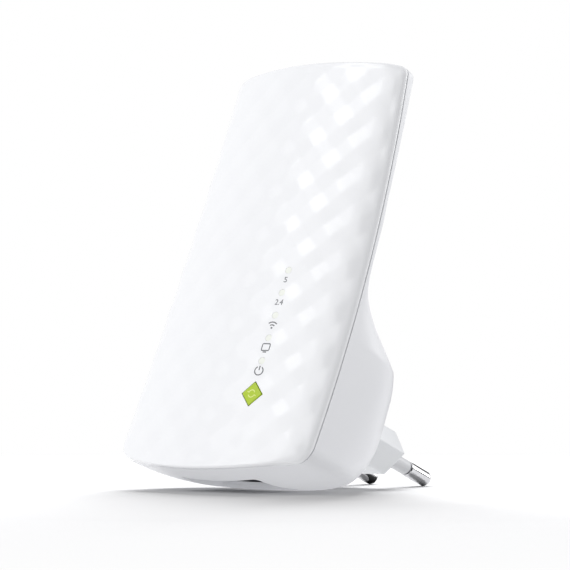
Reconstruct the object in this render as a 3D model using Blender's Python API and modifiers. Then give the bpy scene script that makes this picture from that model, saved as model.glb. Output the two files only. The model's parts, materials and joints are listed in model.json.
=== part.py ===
"""Wall-plug wifi range extender, modelled as its separate pieces at real size.

Every piece is built upright: +X to the right, +Y from the front to the plug, +Z up, with the
crown of the front face at depth 0 and the middle of the foot edge at height 0. All of them hang
on one empty, which leans the device back until its heel and its two plug pins stand on z = 0.
"""

import math

import bmesh
import bpy
from mathutils import Matrix, Vector

# Driving dimensions, in metres

# Casing
BODY_HEIGHT = 0.1108
BODY_WIDTH = 0.0652
TOP_WIDTH = 0.0584
SIDE_SWELL = 0.0013
FOOT_BOW = 0.0038
FOOT_BOW_FADE = 0.0086
TOP_BOW = 0.0001
TOP_BOW_FADE = 0.0120
FOOT_CORNER = 0.0050
TOP_CORNER = 0.0022
WALL = 0.0018
CLEAR = 0.0003

# Front cover and the seam behind it
FACE_BOW = 0.0059
FACE_SWELL = 0.0024
FACE_SHOULDER = 0.22
FACE_SHOULDER_START = 0.70
FACE_EDGE = 0.0007
COVER_EDGE = 0.0014
SEAM_GAP = 0.0004

# Rear housing: thin slab above, pod for the plug and the power supply below
SLAB_DEPTH = 0.0032
SLAB_FOOT_DEPTH = 0.0014
SLAB_ROUND = 0.0022
SHOULDER_TOP = 0.0590
SHOULDER_ANGLE = math.radians(33.0)
SHOULDER_HOLLOW = 0.0300
SHOULDER_ROUND = 0.0140
POD_DEPTH = 0.0424
HEEL_HEIGHT = 0.0098
HEEL_ROUND = 0.0180
BELLY_DEPTH = 0.0160
BELLY_HEIGHT = 0.0006
BELLY_ROUND = 0.0600
SLAB_POWER = 9.0
POD_POWER = 3.0
POD_TOP = 0.0380
SHOULDER_POWER = 2.0
SHOULDER_TAPER = 1.05

# Plug
PLUG_FACE_DEPTH = 0.0551
PLUG_WIDTH = 0.0351
PLUG_FLAT_WIDTH = 0.0249
PLUG_HEIGHT = 0.0118
PLUG_AXIS_HEIGHT = 0.0254
PLUG_FLANGE = 0.0018
PLUG_FLANGE_RIM = 0.0018
PIN_SPACING = 0.0186
PIN_RADIUS = 0.0020
PIN_CORE_RADIUS = 0.0013
PIN_LENGTH = 0.0190
PIN_BARE_LENGTH = 0.0084
PIN_TIP_ROUND = 0.0009
SLEEVE_RADIUS = 0.00192
SLEEVE_SEAT = 0.0090

# Pair button and status lights, on one column of the front face
COLUMN_X = 0.0138
BUTTON_HEIGHT = 0.0197
BUTTON_HALF = 0.0031
BUTTON_PROUD = 0.0002
BUTTON_EDGE = 0.0002
BUTTON_FLANGE_RIM = 0.0011
BUTTON_FLANGE = 0.0008
BUTTON_STEM_RADIUS = 0.0015
BUTTON_TRAVEL = 0.0003
LIGHT_COUNT = 5
LIGHT_FIRST_HEIGHT = 0.0284
LIGHT_PITCH = 0.00606
LIGHT_RADIUS = 0.0006
LIGHT_SINK = 0.0001
GUIDE_WIDTH = 0.0036
GUIDE_THICKNESS = 0.0015
GUIDE_END_ROOM = 0.0015
LED_SIZE = 0.0016
LED_HEIGHT = 0.0008

# Main board and what is soldered to it
BOARD_DEPTH = 0.0115
BOARD_THICKNESS = 0.0010
BOARD_SIDE_ROOM = 0.0072
BOARD_FOOT = 0.0096
BOARD_TOP = 0.0560
SWITCH_SIZE = 0.0060
SWITCH_THICKNESS = 0.0016
PLUNGER_RADIUS = 0.0013
PLUNGER_PROUD = 0.0010
CAN_ROOM = 0.0012
CAN_WIDTH = 0.0200
CAN_FOOT = 0.0265
CAN_HEIGHT = 0.0230
CAN_THICKNESS = 0.0022
CAN_WALL = 0.0004
WIFI_CHIP_SIZE = 0.0090
WIFI_CHIP_THICKNESS = 0.0010
FLASH_CHIP_X = -0.0140
FLASH_CHIP_FOOT = 0.0150
FLASH_CHIP_WIDTH = 0.0052
FLASH_CHIP_HEIGHT = 0.0064
FLASH_CHIP_THICKNESS = 0.0016
CRYSTAL_ROOM = 0.0016
CRYSTAL_FOOT = 0.0400
CRYSTAL_WIDTH = 0.0032
CRYSTAL_HEIGHT = 0.0050
CRYSTAL_THICKNESS = 0.0012
POST_RADIUS = 0.0028
POST_EDGE_ROOM = 0.0039
POST_LOW = 0.0140
POST_HIGH = 0.0500
SCREW_RADIUS = 0.0011
SCREW_HEAD_RADIUS = 0.0021
SCREW_HEAD = 0.0014
SCREW_LENGTH = 0.0050

# Network jack, its bezel and the reset switch
JACK_X = -0.0023
JACK_WIDTH = 0.0160
JACK_DEPTH = 0.0135
JACK_HEIGHT = 0.0150
JACK_SHELL = 0.0004
JACK_MOUTH_WIDTH = 0.0118
JACK_MOUTH_DEPTH = 0.0082
JACK_MOUTH_REACH = 0.0118
BEZEL_THICKNESS = 0.0012
BEZEL_RIM = 0.0020
PORT_WIDTH = 0.0268
PORT_FRONT = 0.0106
PORT_DEPTH = 0.0156
PORT_CORNER = 0.0012
RESET_X = 0.0088
RESET_HOLE_RADIUS = 0.0009
RESET_WIDTH = 0.0044
RESET_DEPTH = 0.0040
RESET_HEIGHT = 0.0036
RESET_PLUNGER_RADIUS = 0.0009
RESET_PLUNGER_PROUD = 0.0010
RESET_TRAVEL = 0.0003
MAGNETICS_X = 0.0110
MAGNETICS_WIDTH = 0.0070
MAGNETICS_HEIGHT = 0.0120
MAGNETICS_THICKNESS = 0.0032
MAGNETICS_FOOT = 0.0340

# Power supply
POWER_BOARD_THICKNESS = 0.0012
POWER_BOARD_WIDTH = 0.0360
POWER_BOARD_FOOT = 0.0135
POWER_BOARD_TOP = 0.0385
CORE_WIDTH = 0.0160
CORE_HEIGHT = 0.0130
CORE_DEPTH = 0.0090
CORE_LEG = 0.0050
CORE_WINDOW = 0.0032
CORE_YOKE = 0.0025
WINDING_BULGE = 0.0022
CORE_ROOM = 0.0009
BULK_RADIUS = 0.0040
BULK_LENGTH = 0.0125
BULK_X = 0.0140
BULK_HEIGHT = 0.0305
OUTPUT_RADIUS = 0.0031
OUTPUT_LENGTH = 0.0100
OUTPUT_X = 0.0130
OUTPUT_HEIGHT = 0.0185
CAPACITOR_EDGE = 0.0005
BRIDGE_X = -0.0130
BRIDGE_HEIGHT = 0.0175
BRIDGE_WIDTH = 0.0065
BRIDGE_TALL = 0.0048
BRIDGE_THICKNESS = 0.0024
FUSE_X = -0.0130
FUSE_HEIGHT = 0.0230
FUSE_RADIUS = 0.0015
FUSE_LENGTH = 0.0080
LEAD_RADIUS = 0.0006
LEAD_X = 0.0166
LEAD_HEIGHT = 0.0234
LEAD_PITCH = 0.0018
LEAD_SWAY = 0.0016

# Antennas in the slab
ANTENNA_WIDTH = 0.0110
ANTENNA_FOOT_ROOM = 0.0100
ANTENNA_THICKNESS = 0.0006
ANTENNA_X = 0.0170
ANTENNA_TOP_ROOM = 0.0148
ANTENNA_SLOT = 0.0016
ANTENNA_ARM = 0.0030
COAX_RADIUS = 0.0005

# Mesh density
FINE_SEGMENTS = 24
SMALL_SEGMENTS = 16
ARC_STEP = math.radians(13.0)
ROW_STEP = 0.0070
COLUMN_COUNT = 18
FACE_COLUMNS = 18
EDGE_ROWS = 3
CORNER_ROWS = 5
CORNER_ROW_POWER = 1.5
SMOOTH_ANGLE = math.radians(35.0)
LEAD_STEPS = 4
OVERCUT = 0.0080
WELD = 1.0e-6

COLLECTION_NAME = "wifi_range_extender"
CUTTER_COLLECTION_NAME = "wifi_range_extender_cutters"


# Scene and materials

def clear_scene():
    for old in list(bpy.data.objects):
        bpy.data.objects.remove(old, do_unlink=True)


def new_collection(name):
    collection = bpy.data.collections.new(name)
    bpy.context.scene.collection.children.link(collection)
    return collection


def finish(name, colour, roughness, metallic=0.0):
    """A Principled material with one colour."""
    made = bpy.data.materials.new(name)
    made.use_nodes = True
    shader = made.node_tree.nodes["Principled BSDF"]
    shader.inputs["Base Color"].default_value = (*colour, 1.0)
    shader.inputs["Roughness"].default_value = roughness
    shader.inputs["Metallic"].default_value = metallic
    return made


clear_scene()
PARTS = new_collection(COLLECTION_NAME)
CUTTERS = new_collection(CUTTER_COLLECTION_NAME)
STAND = bpy.data.objects.new("stand", None)
PARTS.objects.link(STAND)

SATIN_WHITE = finish("satin_white_abs", (0.90, 0.90, 0.91), 0.32)
HOUSING_WHITE = finish("housing_white_abs", (0.84, 0.84, 0.86), 0.36)
PLUG_WHITE = finish("plug_white_abs", (0.78, 0.79, 0.81), 0.40)
SLEEVE_WHITE = finish("sleeve_pvc", (0.80, 0.80, 0.80), 0.45)
NICKEL = finish("nickel_plated_brass", (0.78, 0.77, 0.75), 0.12, 1.0)
BUTTON_GREEN = finish("green_abs", (0.46, 0.62, 0.01), 0.35)
CLEAR_GUIDE = finish("frosted_acrylic", (0.86, 0.89, 0.85), 0.25)
BLACK_PLASTIC = finish("black_nylon", (0.02, 0.02, 0.022), 0.5)
STEEL = finish("zinc_plated_steel", (0.62, 0.62, 0.63), 0.3, 1.0)
TIN = finish("tinned_steel", (0.70, 0.70, 0.71), 0.28, 1.0)
BOARD_GREEN = finish("green_solder_mask", (0.02, 0.14, 0.06), 0.35)
CHIP_BLACK = finish("epoxy_black", (0.025, 0.025, 0.027), 0.55)
LED_CREAM = finish("led_lens", (0.82, 0.84, 0.62), 0.3)
FERRITE = finish("ferrite", (0.06, 0.06, 0.065), 0.7)
TAPE_YELLOW = finish("polyester_tape", (0.78, 0.62, 0.10), 0.35)
SLEEVE_BLACK = finish("capacitor_sleeve", (0.03, 0.035, 0.06), 0.35)
RESISTOR_BLUE = finish("resistor_lacquer", (0.25, 0.45, 0.55), 0.4)
COPPER = finish("tinned_copper", (0.72, 0.66, 0.58), 0.3, 1.0)
WIRE_RED = finish("red_pvc", (0.55, 0.03, 0.02), 0.5)
WIRE_BLACK = finish("black_pvc", (0.02, 0.02, 0.02), 0.5)
COAX_GREY = finish("grey_fep", (0.35, 0.35, 0.36), 0.4)


# Building blocks

def keep(item, material, collection=PARTS):
    """Hang a piece on the stand, in its collection and with its material."""
    collection.objects.link(item)
    item.parent = STAND
    if material is None:
        item.hide_render = True
        item.display_type = "WIRE"
    else:
        item.data.materials.append(material)
    return item


def from_bmesh(name, mesh_builder, material, location=(0.0, 0.0, 0.0)):
    bmesh.ops.recalc_face_normals(mesh_builder, faces=mesh_builder.faces)
    mesh = bpy.data.meshes.new(name)
    mesh_builder.to_mesh(mesh)
    mesh_builder.free()
    item = bpy.data.objects.new(name, mesh)
    item.location = location
    return keep(item, material, PARTS if material else CUTTERS)


def cut(item, tool, operation="DIFFERENCE"):
    step = item.modifiers.new(operation.lower(), "BOOLEAN")
    step.operation = operation
    step.solver = "EXACT"
    step.object = tool
    return item


def soften(item, width, segments=2):
    """Round a piece's sharp edges."""
    step = item.modifiers.new("round", "BEVEL")
    step.width = width
    step.segments = segments
    step.limit_method = "ANGLE"
    return item


def smooth(item):
    item.data.shade_smooth()
    item.data.set_sharp_from_angle(angle=SMOOTH_ANGLE)
    return item


def box(name, low, high, material):
    """A box between two corners, with its origin in its middle."""
    low = Vector(low)
    high = Vector(high)
    size = high - low
    builder = bmesh.new()
    bmesh.ops.create_cube(builder, size=1.0, matrix=Matrix.Diagonal((*size, 1.0)))
    return from_bmesh(name, builder, material, (low + high) / 2.0)


def rod(name, radius, start, end, material, segments=SMALL_SEGMENTS):
    """A cylinder from one point to another, with its origin in its middle."""
    start = Vector(start)
    end = Vector(end)
    span = end - start
    turn = span.to_track_quat("Z", "Y").to_matrix().to_4x4()
    builder = bmesh.new()
    bmesh.ops.create_cone(builder, cap_ends=True, segments=segments, radius1=radius, radius2=radius,
                          depth=span.length, matrix=turn)
    return from_bmesh(name, builder, material, (start + end) / 2.0)


def turned(name, profile, closed, location, material, segments=FINE_SEGMENTS):
    """A (radius, depth) profile, from its deepest point forward, turned about the +Y line."""
    mesh = bpy.data.meshes.new(name)
    points = [(radius, 0.0, depth) for radius, depth in profile]
    edges = [(k, k + 1) for k in range(len(points) - 1)]
    if closed:
        edges.append((len(points) - 1, 0))
    mesh.from_pydata(points, edges, [])
    item = bpy.data.objects.new(name, mesh)
    item.location = location
    item.rotation_euler = (-math.pi / 2.0, 0.0, 0.0)
    keep(item, material)
    screw = item.modifiers.new("turn", "SCREW")
    screw.axis = "Z"
    screw.steps = segments
    screw.render_steps = segments
    screw.use_merge_vertices = True
    screw.merge_threshold = WELD
    screw.use_smooth_shade = True
    return item


def plate(name, outline, start, end, material):
    """A flat outline of (x, height) points, extruded from one depth to another."""
    curve = bpy.data.curves.new(name, "CURVE")
    curve.dimensions = "2D"
    curve.fill_mode = "BOTH"
    curve.extrude = (end - start) / 2.0
    spline = curve.splines.new("POLY")
    spline.points.add(len(outline) - 1)
    for point, (across, height) in zip(spline.points, outline):
        point.co = (across, height, 0.0, 1.0)
    spline.use_cyclic_u = True
    drawn = bpy.data.objects.new(name + "_outline", curve)
    bpy.context.scene.collection.objects.link(drawn)
    graph = bpy.context.evaluated_depsgraph_get()
    mesh = bpy.data.meshes.new_from_object(drawn.evaluated_get(graph))
    bpy.data.objects.remove(drawn, do_unlink=True)
    builder = bmesh.new()
    builder.from_mesh(mesh)
    bmesh.ops.remove_doubles(builder, verts=builder.verts, dist=WELD)
    turn = Matrix.Rotation(math.pi / 2.0, 4, "X")
    bmesh.ops.transform(builder, verts=builder.verts, matrix=turn)
    return from_bmesh(name, builder, material, (0.0, (start + end) / 2.0, 0.0))


def tube(name, points, radius, material):
    """A round lead along a smooth curve through a few points."""
    curve = bpy.data.curves.new(name, "CURVE")
    curve.dimensions = "3D"
    curve.bevel_depth = radius
    curve.bevel_resolution = 2
    curve.use_fill_caps = True
    route = smooth_route([Vector(point) for point in points])
    spline = curve.splines.new("POLY")
    spline.points.add(len(route) - 1)
    for point, place in zip(spline.points, route):
        point.co = (*place, 1.0)
    return keep(bpy.data.objects.new(name, curve), material)


def smooth_route(points):
    """Points on a curve that passes through the given ones."""
    ends = [points[0] * 2.0 - points[1]] + points + [points[-1] * 2.0 - points[-2]]
    route = []
    for before, start, end, after in zip(ends, ends[1:], ends[2:], ends[3:]):
        for step in range(LEAD_STEPS):
            part = step / LEAD_STEPS
            pull = (end - before) * part + (before * 2.0 - start * 5.0 + end * 4.0 - after) * part ** 2
            pull += (start * 3.0 - before - end * 3.0 + after) * part ** 3
            route.append(start + pull / 2.0)
    return route + [points[-1]]


def loft(name, near, far, material):
    """A closed solid between two grids of rows, walled round where their edges stand apart."""
    builder = bmesh.new()
    sheets = [[[builder.verts.new(point) for point in row] for row in grid] for grid in (near, far)]
    for sheet in sheets:
        for low, high in zip(sheet, sheet[1:]):
            for k in range(len(low) - 1):
                builder.faces.new((low[k], low[k + 1], high[k + 1], high[k]))
    rims = [edge_loop(sheet) for sheet in sheets]
    count = len(rims[0])
    for k in range(count):
        following = (k + 1) % count
        builder.faces.new((rims[0][k], rims[0][following], rims[1][following], rims[1][k]))
    bmesh.ops.remove_doubles(builder, verts=builder.verts, dist=WELD)
    return from_bmesh(name, builder, material)


def edge_loop(sheet):
    """The points round a grid's edge, in order."""
    right = [row[-1] for row in sheet[1:-1]]
    left = [row[0] for row in sheet[1:-1]]
    return sheet[0] + right + sheet[-1][::-1] + left[::-1]


def rounded_path(corners, radii):
    """A path of straight runs whose inner corners are arcs, with no step longer than ROW_STEP."""
    points = [Vector(corners[0])]
    for before, corner, after, radius in zip(corners, corners[1:], corners[2:], radii):
        into = (Vector(corner) - Vector(before)).normalized()
        out = (Vector(after) - Vector(corner)).normalized()
        bend = into.angle_signed(out)
        reach = radius * math.tan(abs(bend) / 2.0)
        steps = max(2, math.ceil(abs(bend) / ARC_STEP))
        side = Vector((into.y, -into.x)) * math.copysign(1.0, bend)
        centre = Vector(corner) - into * reach + side * radius
        for step in range(steps + 1):
            swing = Matrix.Rotation(-bend * step / steps, 2)
            points.append(centre - swing @ side * radius)
    points.append(Vector(corners[-1]))
    return divided(points)


def divided(points):
    path = [points[0]]
    for start, end in zip(points, points[1:]):
        parts = max(1, math.ceil((end - start).length / ROW_STEP))
        path += [start.lerp(end, step / parts) for step in range(1, parts + 1)]
    return path


def inner_path(path, distance):
    """The same path, moved inwards."""
    moved = []
    for k, point in enumerate(path):
        along = (path[min(k + 1, len(path) - 1)] - path[max(k - 1, 0)]).normalized()
        moved.append(point + Vector((along.y, -along.x)) * distance)
    return moved


# Form of the casing

def corner_inset(distance, radius):
    """How far a rounded corner draws in at a distance from the edge."""
    reach = min(max(radius - distance, 0.0), radius)
    return radius - math.sqrt(radius ** 2 - reach ** 2)


def row_bow(height):
    """Rise of a row's ends above its middle: the foot edge sags and the top edge crowns."""
    foot = max(0.0, 1.0 - height / FOOT_BOW_FADE)
    top = max(0.0, 1.0 - (BODY_HEIGHT - height) / TOP_BOW_FADE)
    return FOOT_BOW * foot ** 2 - TOP_BOW * top ** 2


def swell(height):
    """A share that is 1 halfway up the casing and 0 at its foot and top."""
    up = height / BODY_HEIGHT
    return 4.0 * up * (1.0 - up)


def half_width(height):
    """Half the casing's width along the row at a height."""
    end = height + row_bow(height)
    side = (BODY_WIDTH + (TOP_WIDTH - BODY_WIDTH) * end / BODY_HEIGHT) / 2.0 + SIDE_SWELL * swell(end)
    foot = corner_inset(end - FOOT_BOW, FOOT_CORNER)
    top = corner_inset(BODY_HEIGHT - TOP_BOW - end, TOP_CORNER)
    return side - foot - top


def face_bow(height):
    """Depth of the front face's side edges behind its crown."""
    return FACE_BOW + FACE_SWELL * swell(height)


def face_share(share):
    """Depth share of the front face: a shallow arc that turns down towards its side edges."""
    turn = max(0.0, (abs(share) - FACE_SHOULDER_START) / (1.0 - FACE_SHOULDER_START))
    return (1.0 - FACE_SHOULDER) * share ** 2 + FACE_SHOULDER * turn ** 2


def seam_depth(height, share=1.0):
    """Depth of the seam between the cover and the housing, which follows the face's edge all round."""
    return face_bow(height) * face_share(share) + COVER_EDGE


def face_depth(across, height):
    """Depth of the bowed front face."""
    return face_bow(height) * face_share(across / half_width(height))


def rear_corners():
    """Side outline behind the seam: top edge, slab, shoulder, rear face, heel, belly and foot."""
    slab_foot = seam_depth(SHOULDER_TOP) + SLAB_FOOT_DEPTH
    shoulder_drop = (POD_DEPTH - slab_foot) * math.tan(SHOULDER_ANGLE)
    return [
        (COVER_EDGE, BODY_HEIGHT),
        (seam_depth(BODY_HEIGHT) + SLAB_DEPTH, BODY_HEIGHT),
        (slab_foot, SHOULDER_TOP),
        (POD_DEPTH, SHOULDER_TOP - shoulder_drop),
        (POD_DEPTH, HEEL_HEIGHT),
        (BELLY_DEPTH, BELLY_HEIGHT),
        (COVER_EDGE, 0.0),
    ]


CORNER_RADII = (SLAB_ROUND, SHOULDER_HOLLOW, SHOULDER_ROUND, HEEL_ROUND, BELLY_ROUND)
REAR_PATH = rounded_path(rear_corners(), CORNER_RADII)
INNER_PATH = inner_path(REAR_PATH, WALL)


def depth_on(path, height):
    """Depth of a side path at a height."""
    for high, low in zip(path, path[1:]):
        if low.y <= height <= high.y and high.y > low.y:
            return high.lerp(low, (high.y - height) / (high.y - low.y)).x
    return path[-1].x


def height_on(path, depth):
    """Height of the underside at a depth: the path's last run that reaches it."""
    for low, high in zip(path[::-1], path[-2::-1]):
        if low.x <= depth <= high.x:
            return low.lerp(high, (depth - low.x) / (high.x - low.x)).y
    return path[-1].y


def slab_depth(height):
    """Depth of the slab behind the seam: it thins from the top down to the shoulder."""
    up = min(max((height - SHOULDER_TOP) / (BODY_HEIGHT - SHOULDER_TOP), 0.0), 1.0)
    return SLAB_FOOT_DEPTH + (SLAB_DEPTH - SLAB_FOOT_DEPTH) * up


def slab_share(share):
    """Depth share of the slab's boxy section."""
    return max(0.0, 1.0 - abs(share) ** SLAB_POWER) ** (1.0 / SLAB_POWER)


def pod_share(share, height):
    """Depth share of what stands behind the slab: full over the pod, narrowing up the shoulder."""
    up = min(max((height - POD_TOP) / (SHOULDER_TOP - POD_TOP), 0.0), 1.0)
    power = POD_POWER + (SHOULDER_POWER - POD_POWER) * up
    taper = 1.0 / POD_POWER + (SHOULDER_TAPER - 1.0 / POD_POWER) * up
    return max(0.0, 1.0 - abs(share) ** power) ** taper


def section_depth(share, height, rear):
    """Depth of a section whose middle lies at the given depth.

    In front of the sides' seam it straightens from the bowed edge of the face.
    """
    seam = seam_depth(height)
    if rear < seam:
        edge = seam_depth(height, share)
        return edge + (seam - edge) * (rear - COVER_EDGE) / (seam - COVER_EDGE)
    slab = min(slab_depth(height), rear - seam)
    return seam + slab * slab_share(share) + (rear - seam - slab) * pod_share(share, height)


def inside_depth(across, height):
    """Depth of the housing's inner wall."""
    share = across / (half_width(height) - WALL)
    return section_depth(share, height, depth_on(INNER_PATH, height))


def section_shares():
    """Places across a section, from -1 to 1, close together where it turns."""
    shares = []
    for k in range(COLUMN_COUNT + 1):
        reach = -math.cos(math.pi * k / COLUMN_COUNT)
        shares.append(math.copysign(abs(reach) ** (2.0 / POD_POWER), reach))
    return shares


def housing_grids(path, inset, lead):
    """Grids of the seam side and of the rear side of a housing form."""
    near = []
    far = []
    for outer, point in zip(REAR_PATH, path):
        half = half_width(outer.y) - inset
        bow = row_bow(outer.y)
        rear = max(point.x, COVER_EDGE)
        near_row = []
        far_row = []
        for share in section_shares():
            height = point.y + bow * share ** 2
            near_row.append((half * share, seam_depth(outer.y, share) - lead, height))
            far_row.append((half * share, section_depth(share, outer.y, rear), height))
        near.append(near_row)
        far.append(far_row)
    return near, far


def edge_steps():
    """Distances from an edge at which the cover's rounding is drawn."""
    return [FACE_EDGE * (1.0 - math.cos(math.pi / 2.0 * k / EDGE_ROWS)) for k in range(EDGE_ROWS + 1)]


def spread(length, count, ends):
    """Places along a length, with the given distances from its ends at both ends."""
    run = length - 2.0 * ends[-1]
    middle = [ends[-1] + run * k / count for k in range(1, count)]
    return ends + middle + [length - step for step in ends[::-1]]


def cover_grids():
    """Grids of the cover's front side and of its rear side, which follows it to the seam."""
    near = []
    far = []
    run_in = FOOT_BOW_FADE - FACE_EDGE
    row_ends = edge_steps()
    for k in range(1, CORNER_ROWS + 1):
        row_ends.append(FACE_EDGE + run_in * (k / CORNER_ROWS) ** CORNER_ROW_POWER)
    rows = spread(BODY_HEIGHT, math.ceil(BODY_HEIGHT / ROW_STEP), row_ends)
    for row in rows:
        half = half_width(row)
        near_row = []
        far_row = []
        for place in spread(2.0 * half, FACE_COLUMNS, edge_steps()):
            across = place - half
            share = across / half
            height = row + row_bow(row) * share ** 2
            edge = min(place, 2.0 * half - place, row, BODY_HEIGHT - row)
            front = face_bow(row) * face_share(share) + corner_inset(edge, FACE_EDGE)
            near_row.append((across, front, height))
            far_row.append((across, seam_depth(row, share) - SEAM_GAP, height))
        near.append(near_row)
        far.append(far_row)
    return near, far


# Places that several pieces share

BOARD_REAR = BOARD_DEPTH + BOARD_THICKNESS
BOARD_HALF_WIDTH = BODY_WIDTH / 2.0 - BOARD_SIDE_ROOM
PART_FRONT = BOARD_DEPTH - CLEAR
PART_REAR = BOARD_REAR + CLEAR
POST_X = BOARD_HALF_WIDTH - POST_EDGE_ROOM
CAN_LEFT = -POST_X + SCREW_HEAD_RADIUS + CAN_ROOM
CRYSTAL_LEFT = CAN_LEFT + CAN_WIDTH + CRYSTAL_ROOM
POST_PLACES = [(side * POST_X, height) for height in (POST_LOW, POST_HIGH) for side in (-1.0, 1.0)]
LIGHT_HEIGHTS = [LIGHT_FIRST_HEIGHT + LIGHT_PITCH * k for k in range(LIGHT_COUNT)]
FACE_AT_COLUMN = face_depth(COLUMN_X, BUTTON_HEIGHT)
PORT_REAR = PORT_FRONT + PORT_DEPTH
BEZEL_FRONT = PORT_FRONT - BEZEL_RIM
BEZEL_REAR = PORT_REAR + BEZEL_RIM
BEZEL_HALF_WIDTH = PORT_WIDTH / 2.0 + BEZEL_RIM
BEZEL_FOOT = height_on(INNER_PATH, BEZEL_REAR) + row_bow(height_on(REAR_PATH, BEZEL_REAR)) + CLEAR
JACK_FOOT = BEZEL_FOOT + BEZEL_THICKNESS + CLEAR
RESET_DEPTH_MIDDLE = PART_REAR + RESET_DEPTH / 2.0


def plug_outline(grow):
    """The plug's flat six-sided outline, made larger all round by a distance."""
    half = PLUG_WIDTH / 2.0
    flat = PLUG_FLAT_WIDTH / 2.0
    rise = PLUG_HEIGHT / 2.0
    slope = math.atan2(rise, half - flat)
    point = half + grow / math.sin(slope)
    shoulder = flat + grow * math.tan(slope / 2.0)
    top = rise + grow
    upper = [(point, 0.0), (shoulder, top), (-shoulder, top)]
    lower = [(-across, -height) for across, height in upper]
    return [(across, PLUG_AXIS_HEIGHT + height) for across, height in upper + lower]


FLANGE_OUTLINE = plug_outline(PLUG_FLANGE_RIM)
FLANGE_REAR = min(inside_depth(across, height) for across, height in FLANGE_OUTLINE) - CLEAR
FLANGE_FRONT = FLANGE_REAR - PLUG_FLANGE
POWER_REAR = FLANGE_FRONT - CLEAR
POWER_FRONT = POWER_REAR - POWER_BOARD_THICKNESS
SUPPLY_SEAT = POWER_FRONT - CLEAR
PIN_SIDES = {"left": -PIN_SPACING / 2.0, "right": PIN_SPACING / 2.0}
PIN_TIP_DEPTH = PLUG_FACE_DEPTH + PIN_LENGTH
PIN_BARE_DEPTH = PIN_TIP_DEPTH - PIN_BARE_LENGTH
SLEEVE_BORE = PIN_CORE_RADIUS + CLEAR
PLUG_BORE = SLEEVE_RADIUS + CLEAR


# Casing pieces

def rear_housing():
    housing = loft("rear_housing", *housing_grids(REAR_PATH, 0.0, 0.0), HOUSING_WHITE)
    cavity = loft("housing_cavity", *housing_grids(INNER_PATH, WALL, OVERCUT), None)
    for k, (across, height) in enumerate(POST_PLACES):
        start = (across, PART_REAR, height)
        cut(cavity, rod("post_%d" % k, POST_RADIUS, start, (across, PLUG_FACE_DEPTH, height), None))
    cut(housing, cavity)
    for k, (across, height) in enumerate(POST_PLACES):
        start = (across, PART_REAR - OVERCUT, height)
        end = (across, PART_REAR + SCREW_LENGTH, height)
        cut(housing, rod("post_hole_%d" % k, SCREW_RADIUS + CLEAR, start, end, None))
    cut(housing, plate("plug_hole", plug_outline(CLEAR), FLANGE_REAR, PLUG_FACE_DEPTH, None))
    port_low = (-PORT_WIDTH / 2.0, PORT_FRONT, -OVERCUT)
    port_high = (PORT_WIDTH / 2.0, PORT_REAR, BEZEL_FOOT + BEZEL_THICKNESS)
    port = soften(box("port_hole", port_low, port_high, None), PORT_CORNER)
    cut(housing, port)
    return smooth(housing)


def front_cover():
    cover = loft("front_cover", *cover_grids(), SATIN_WHITE)
    hole = diamond(BUTTON_HALF + CLEAR)
    cut(cover, plate("button_hole", hole, -OVERCUT, OVERCUT, None))
    for k, height in enumerate(LIGHT_HEIGHTS):
        start = (COLUMN_X, -OVERCUT, height)
        cut(cover, rod("light_hole_%d" % k, LIGHT_RADIUS + CLEAR, start, (COLUMN_X, OVERCUT, height), None))
    return smooth(cover)


def diamond(half):
    """A square on its corner, about the button's centre."""
    corners = [(half, 0.0), (0.0, half), (-half, 0.0), (0.0, -half)]
    return [(COLUMN_X + across, BUTTON_HEIGHT + height) for across, height in corners]


# Plug pieces

def plug_body():
    body = plate("plug_body", plug_outline(0.0), FLANGE_REAR - PLUG_FLANGE / 2.0, PLUG_FACE_DEPTH, PLUG_WHITE)
    cut(body, plate("plug_flange", FLANGE_OUTLINE, FLANGE_FRONT, FLANGE_REAR, None), "UNION")
    for side, across in PIN_SIDES.items():
        start = (across, FLANGE_FRONT - OVERCUT, PLUG_AXIS_HEIGHT)
        end = (across, PLUG_FACE_DEPTH + OVERCUT, PLUG_AXIS_HEIGHT)
        cut(body, rod("plug_bore_" + side, PLUG_BORE, start, end, None, FINE_SEGMENTS))
    return body


def pin(side, across):
    """Plug pin: thin core inside its sleeve, full bare end with a rounded tip."""
    tip = PIN_TIP_DEPTH
    arc = [math.pi / 2.0 * k / EDGE_ROWS for k in range(EDGE_ROWS + 1)]
    profile = [(0.0, tip)]
    for turn in arc:
        radius = PIN_RADIUS - PIN_TIP_ROUND * (1.0 - math.sin(turn))
        profile.append((radius, tip - PIN_TIP_ROUND * (1.0 - math.cos(turn))))
    profile += [
        (PIN_RADIUS, PIN_BARE_DEPTH),
        (PIN_CORE_RADIUS, PIN_BARE_DEPTH),
        (PIN_CORE_RADIUS, POWER_REAR + CLEAR),
        (0.0, POWER_REAR + CLEAR),
    ]
    return turned("pin_" + side, profile, False, (across, 0.0, PLUG_AXIS_HEIGHT), NICKEL)


def pin_sleeve(side, across):
    """Insulating sleeve round a pin's core, from inside the plug to the bare end."""
    end = PIN_BARE_DEPTH - CLEAR
    start = PLUG_FACE_DEPTH - SLEEVE_SEAT
    profile = [(SLEEVE_RADIUS, end), (SLEEVE_RADIUS, start), (SLEEVE_BORE, start), (SLEEVE_BORE, end)]
    return turned("pin_sleeve_" + side, profile, True, (across, 0.0, PLUG_AXIS_HEIGHT), SLEEVE_WHITE)


# Pair button, its switch and the status lights

FLANGE_REACH = BUTTON_HALF + BUTTON_FLANGE_RIM
COVER_WALL = COVER_EDGE - SEAM_GAP
BUTTON_FLANGE_FRONT = face_depth(COLUMN_X + FLANGE_REACH, BUTTON_HEIGHT) + COVER_WALL + CLEAR
SWITCH_FRONT = PART_FRONT - SWITCH_THICKNESS
PLUNGER_FRONT = SWITCH_FRONT - PLUNGER_PROUD


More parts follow.
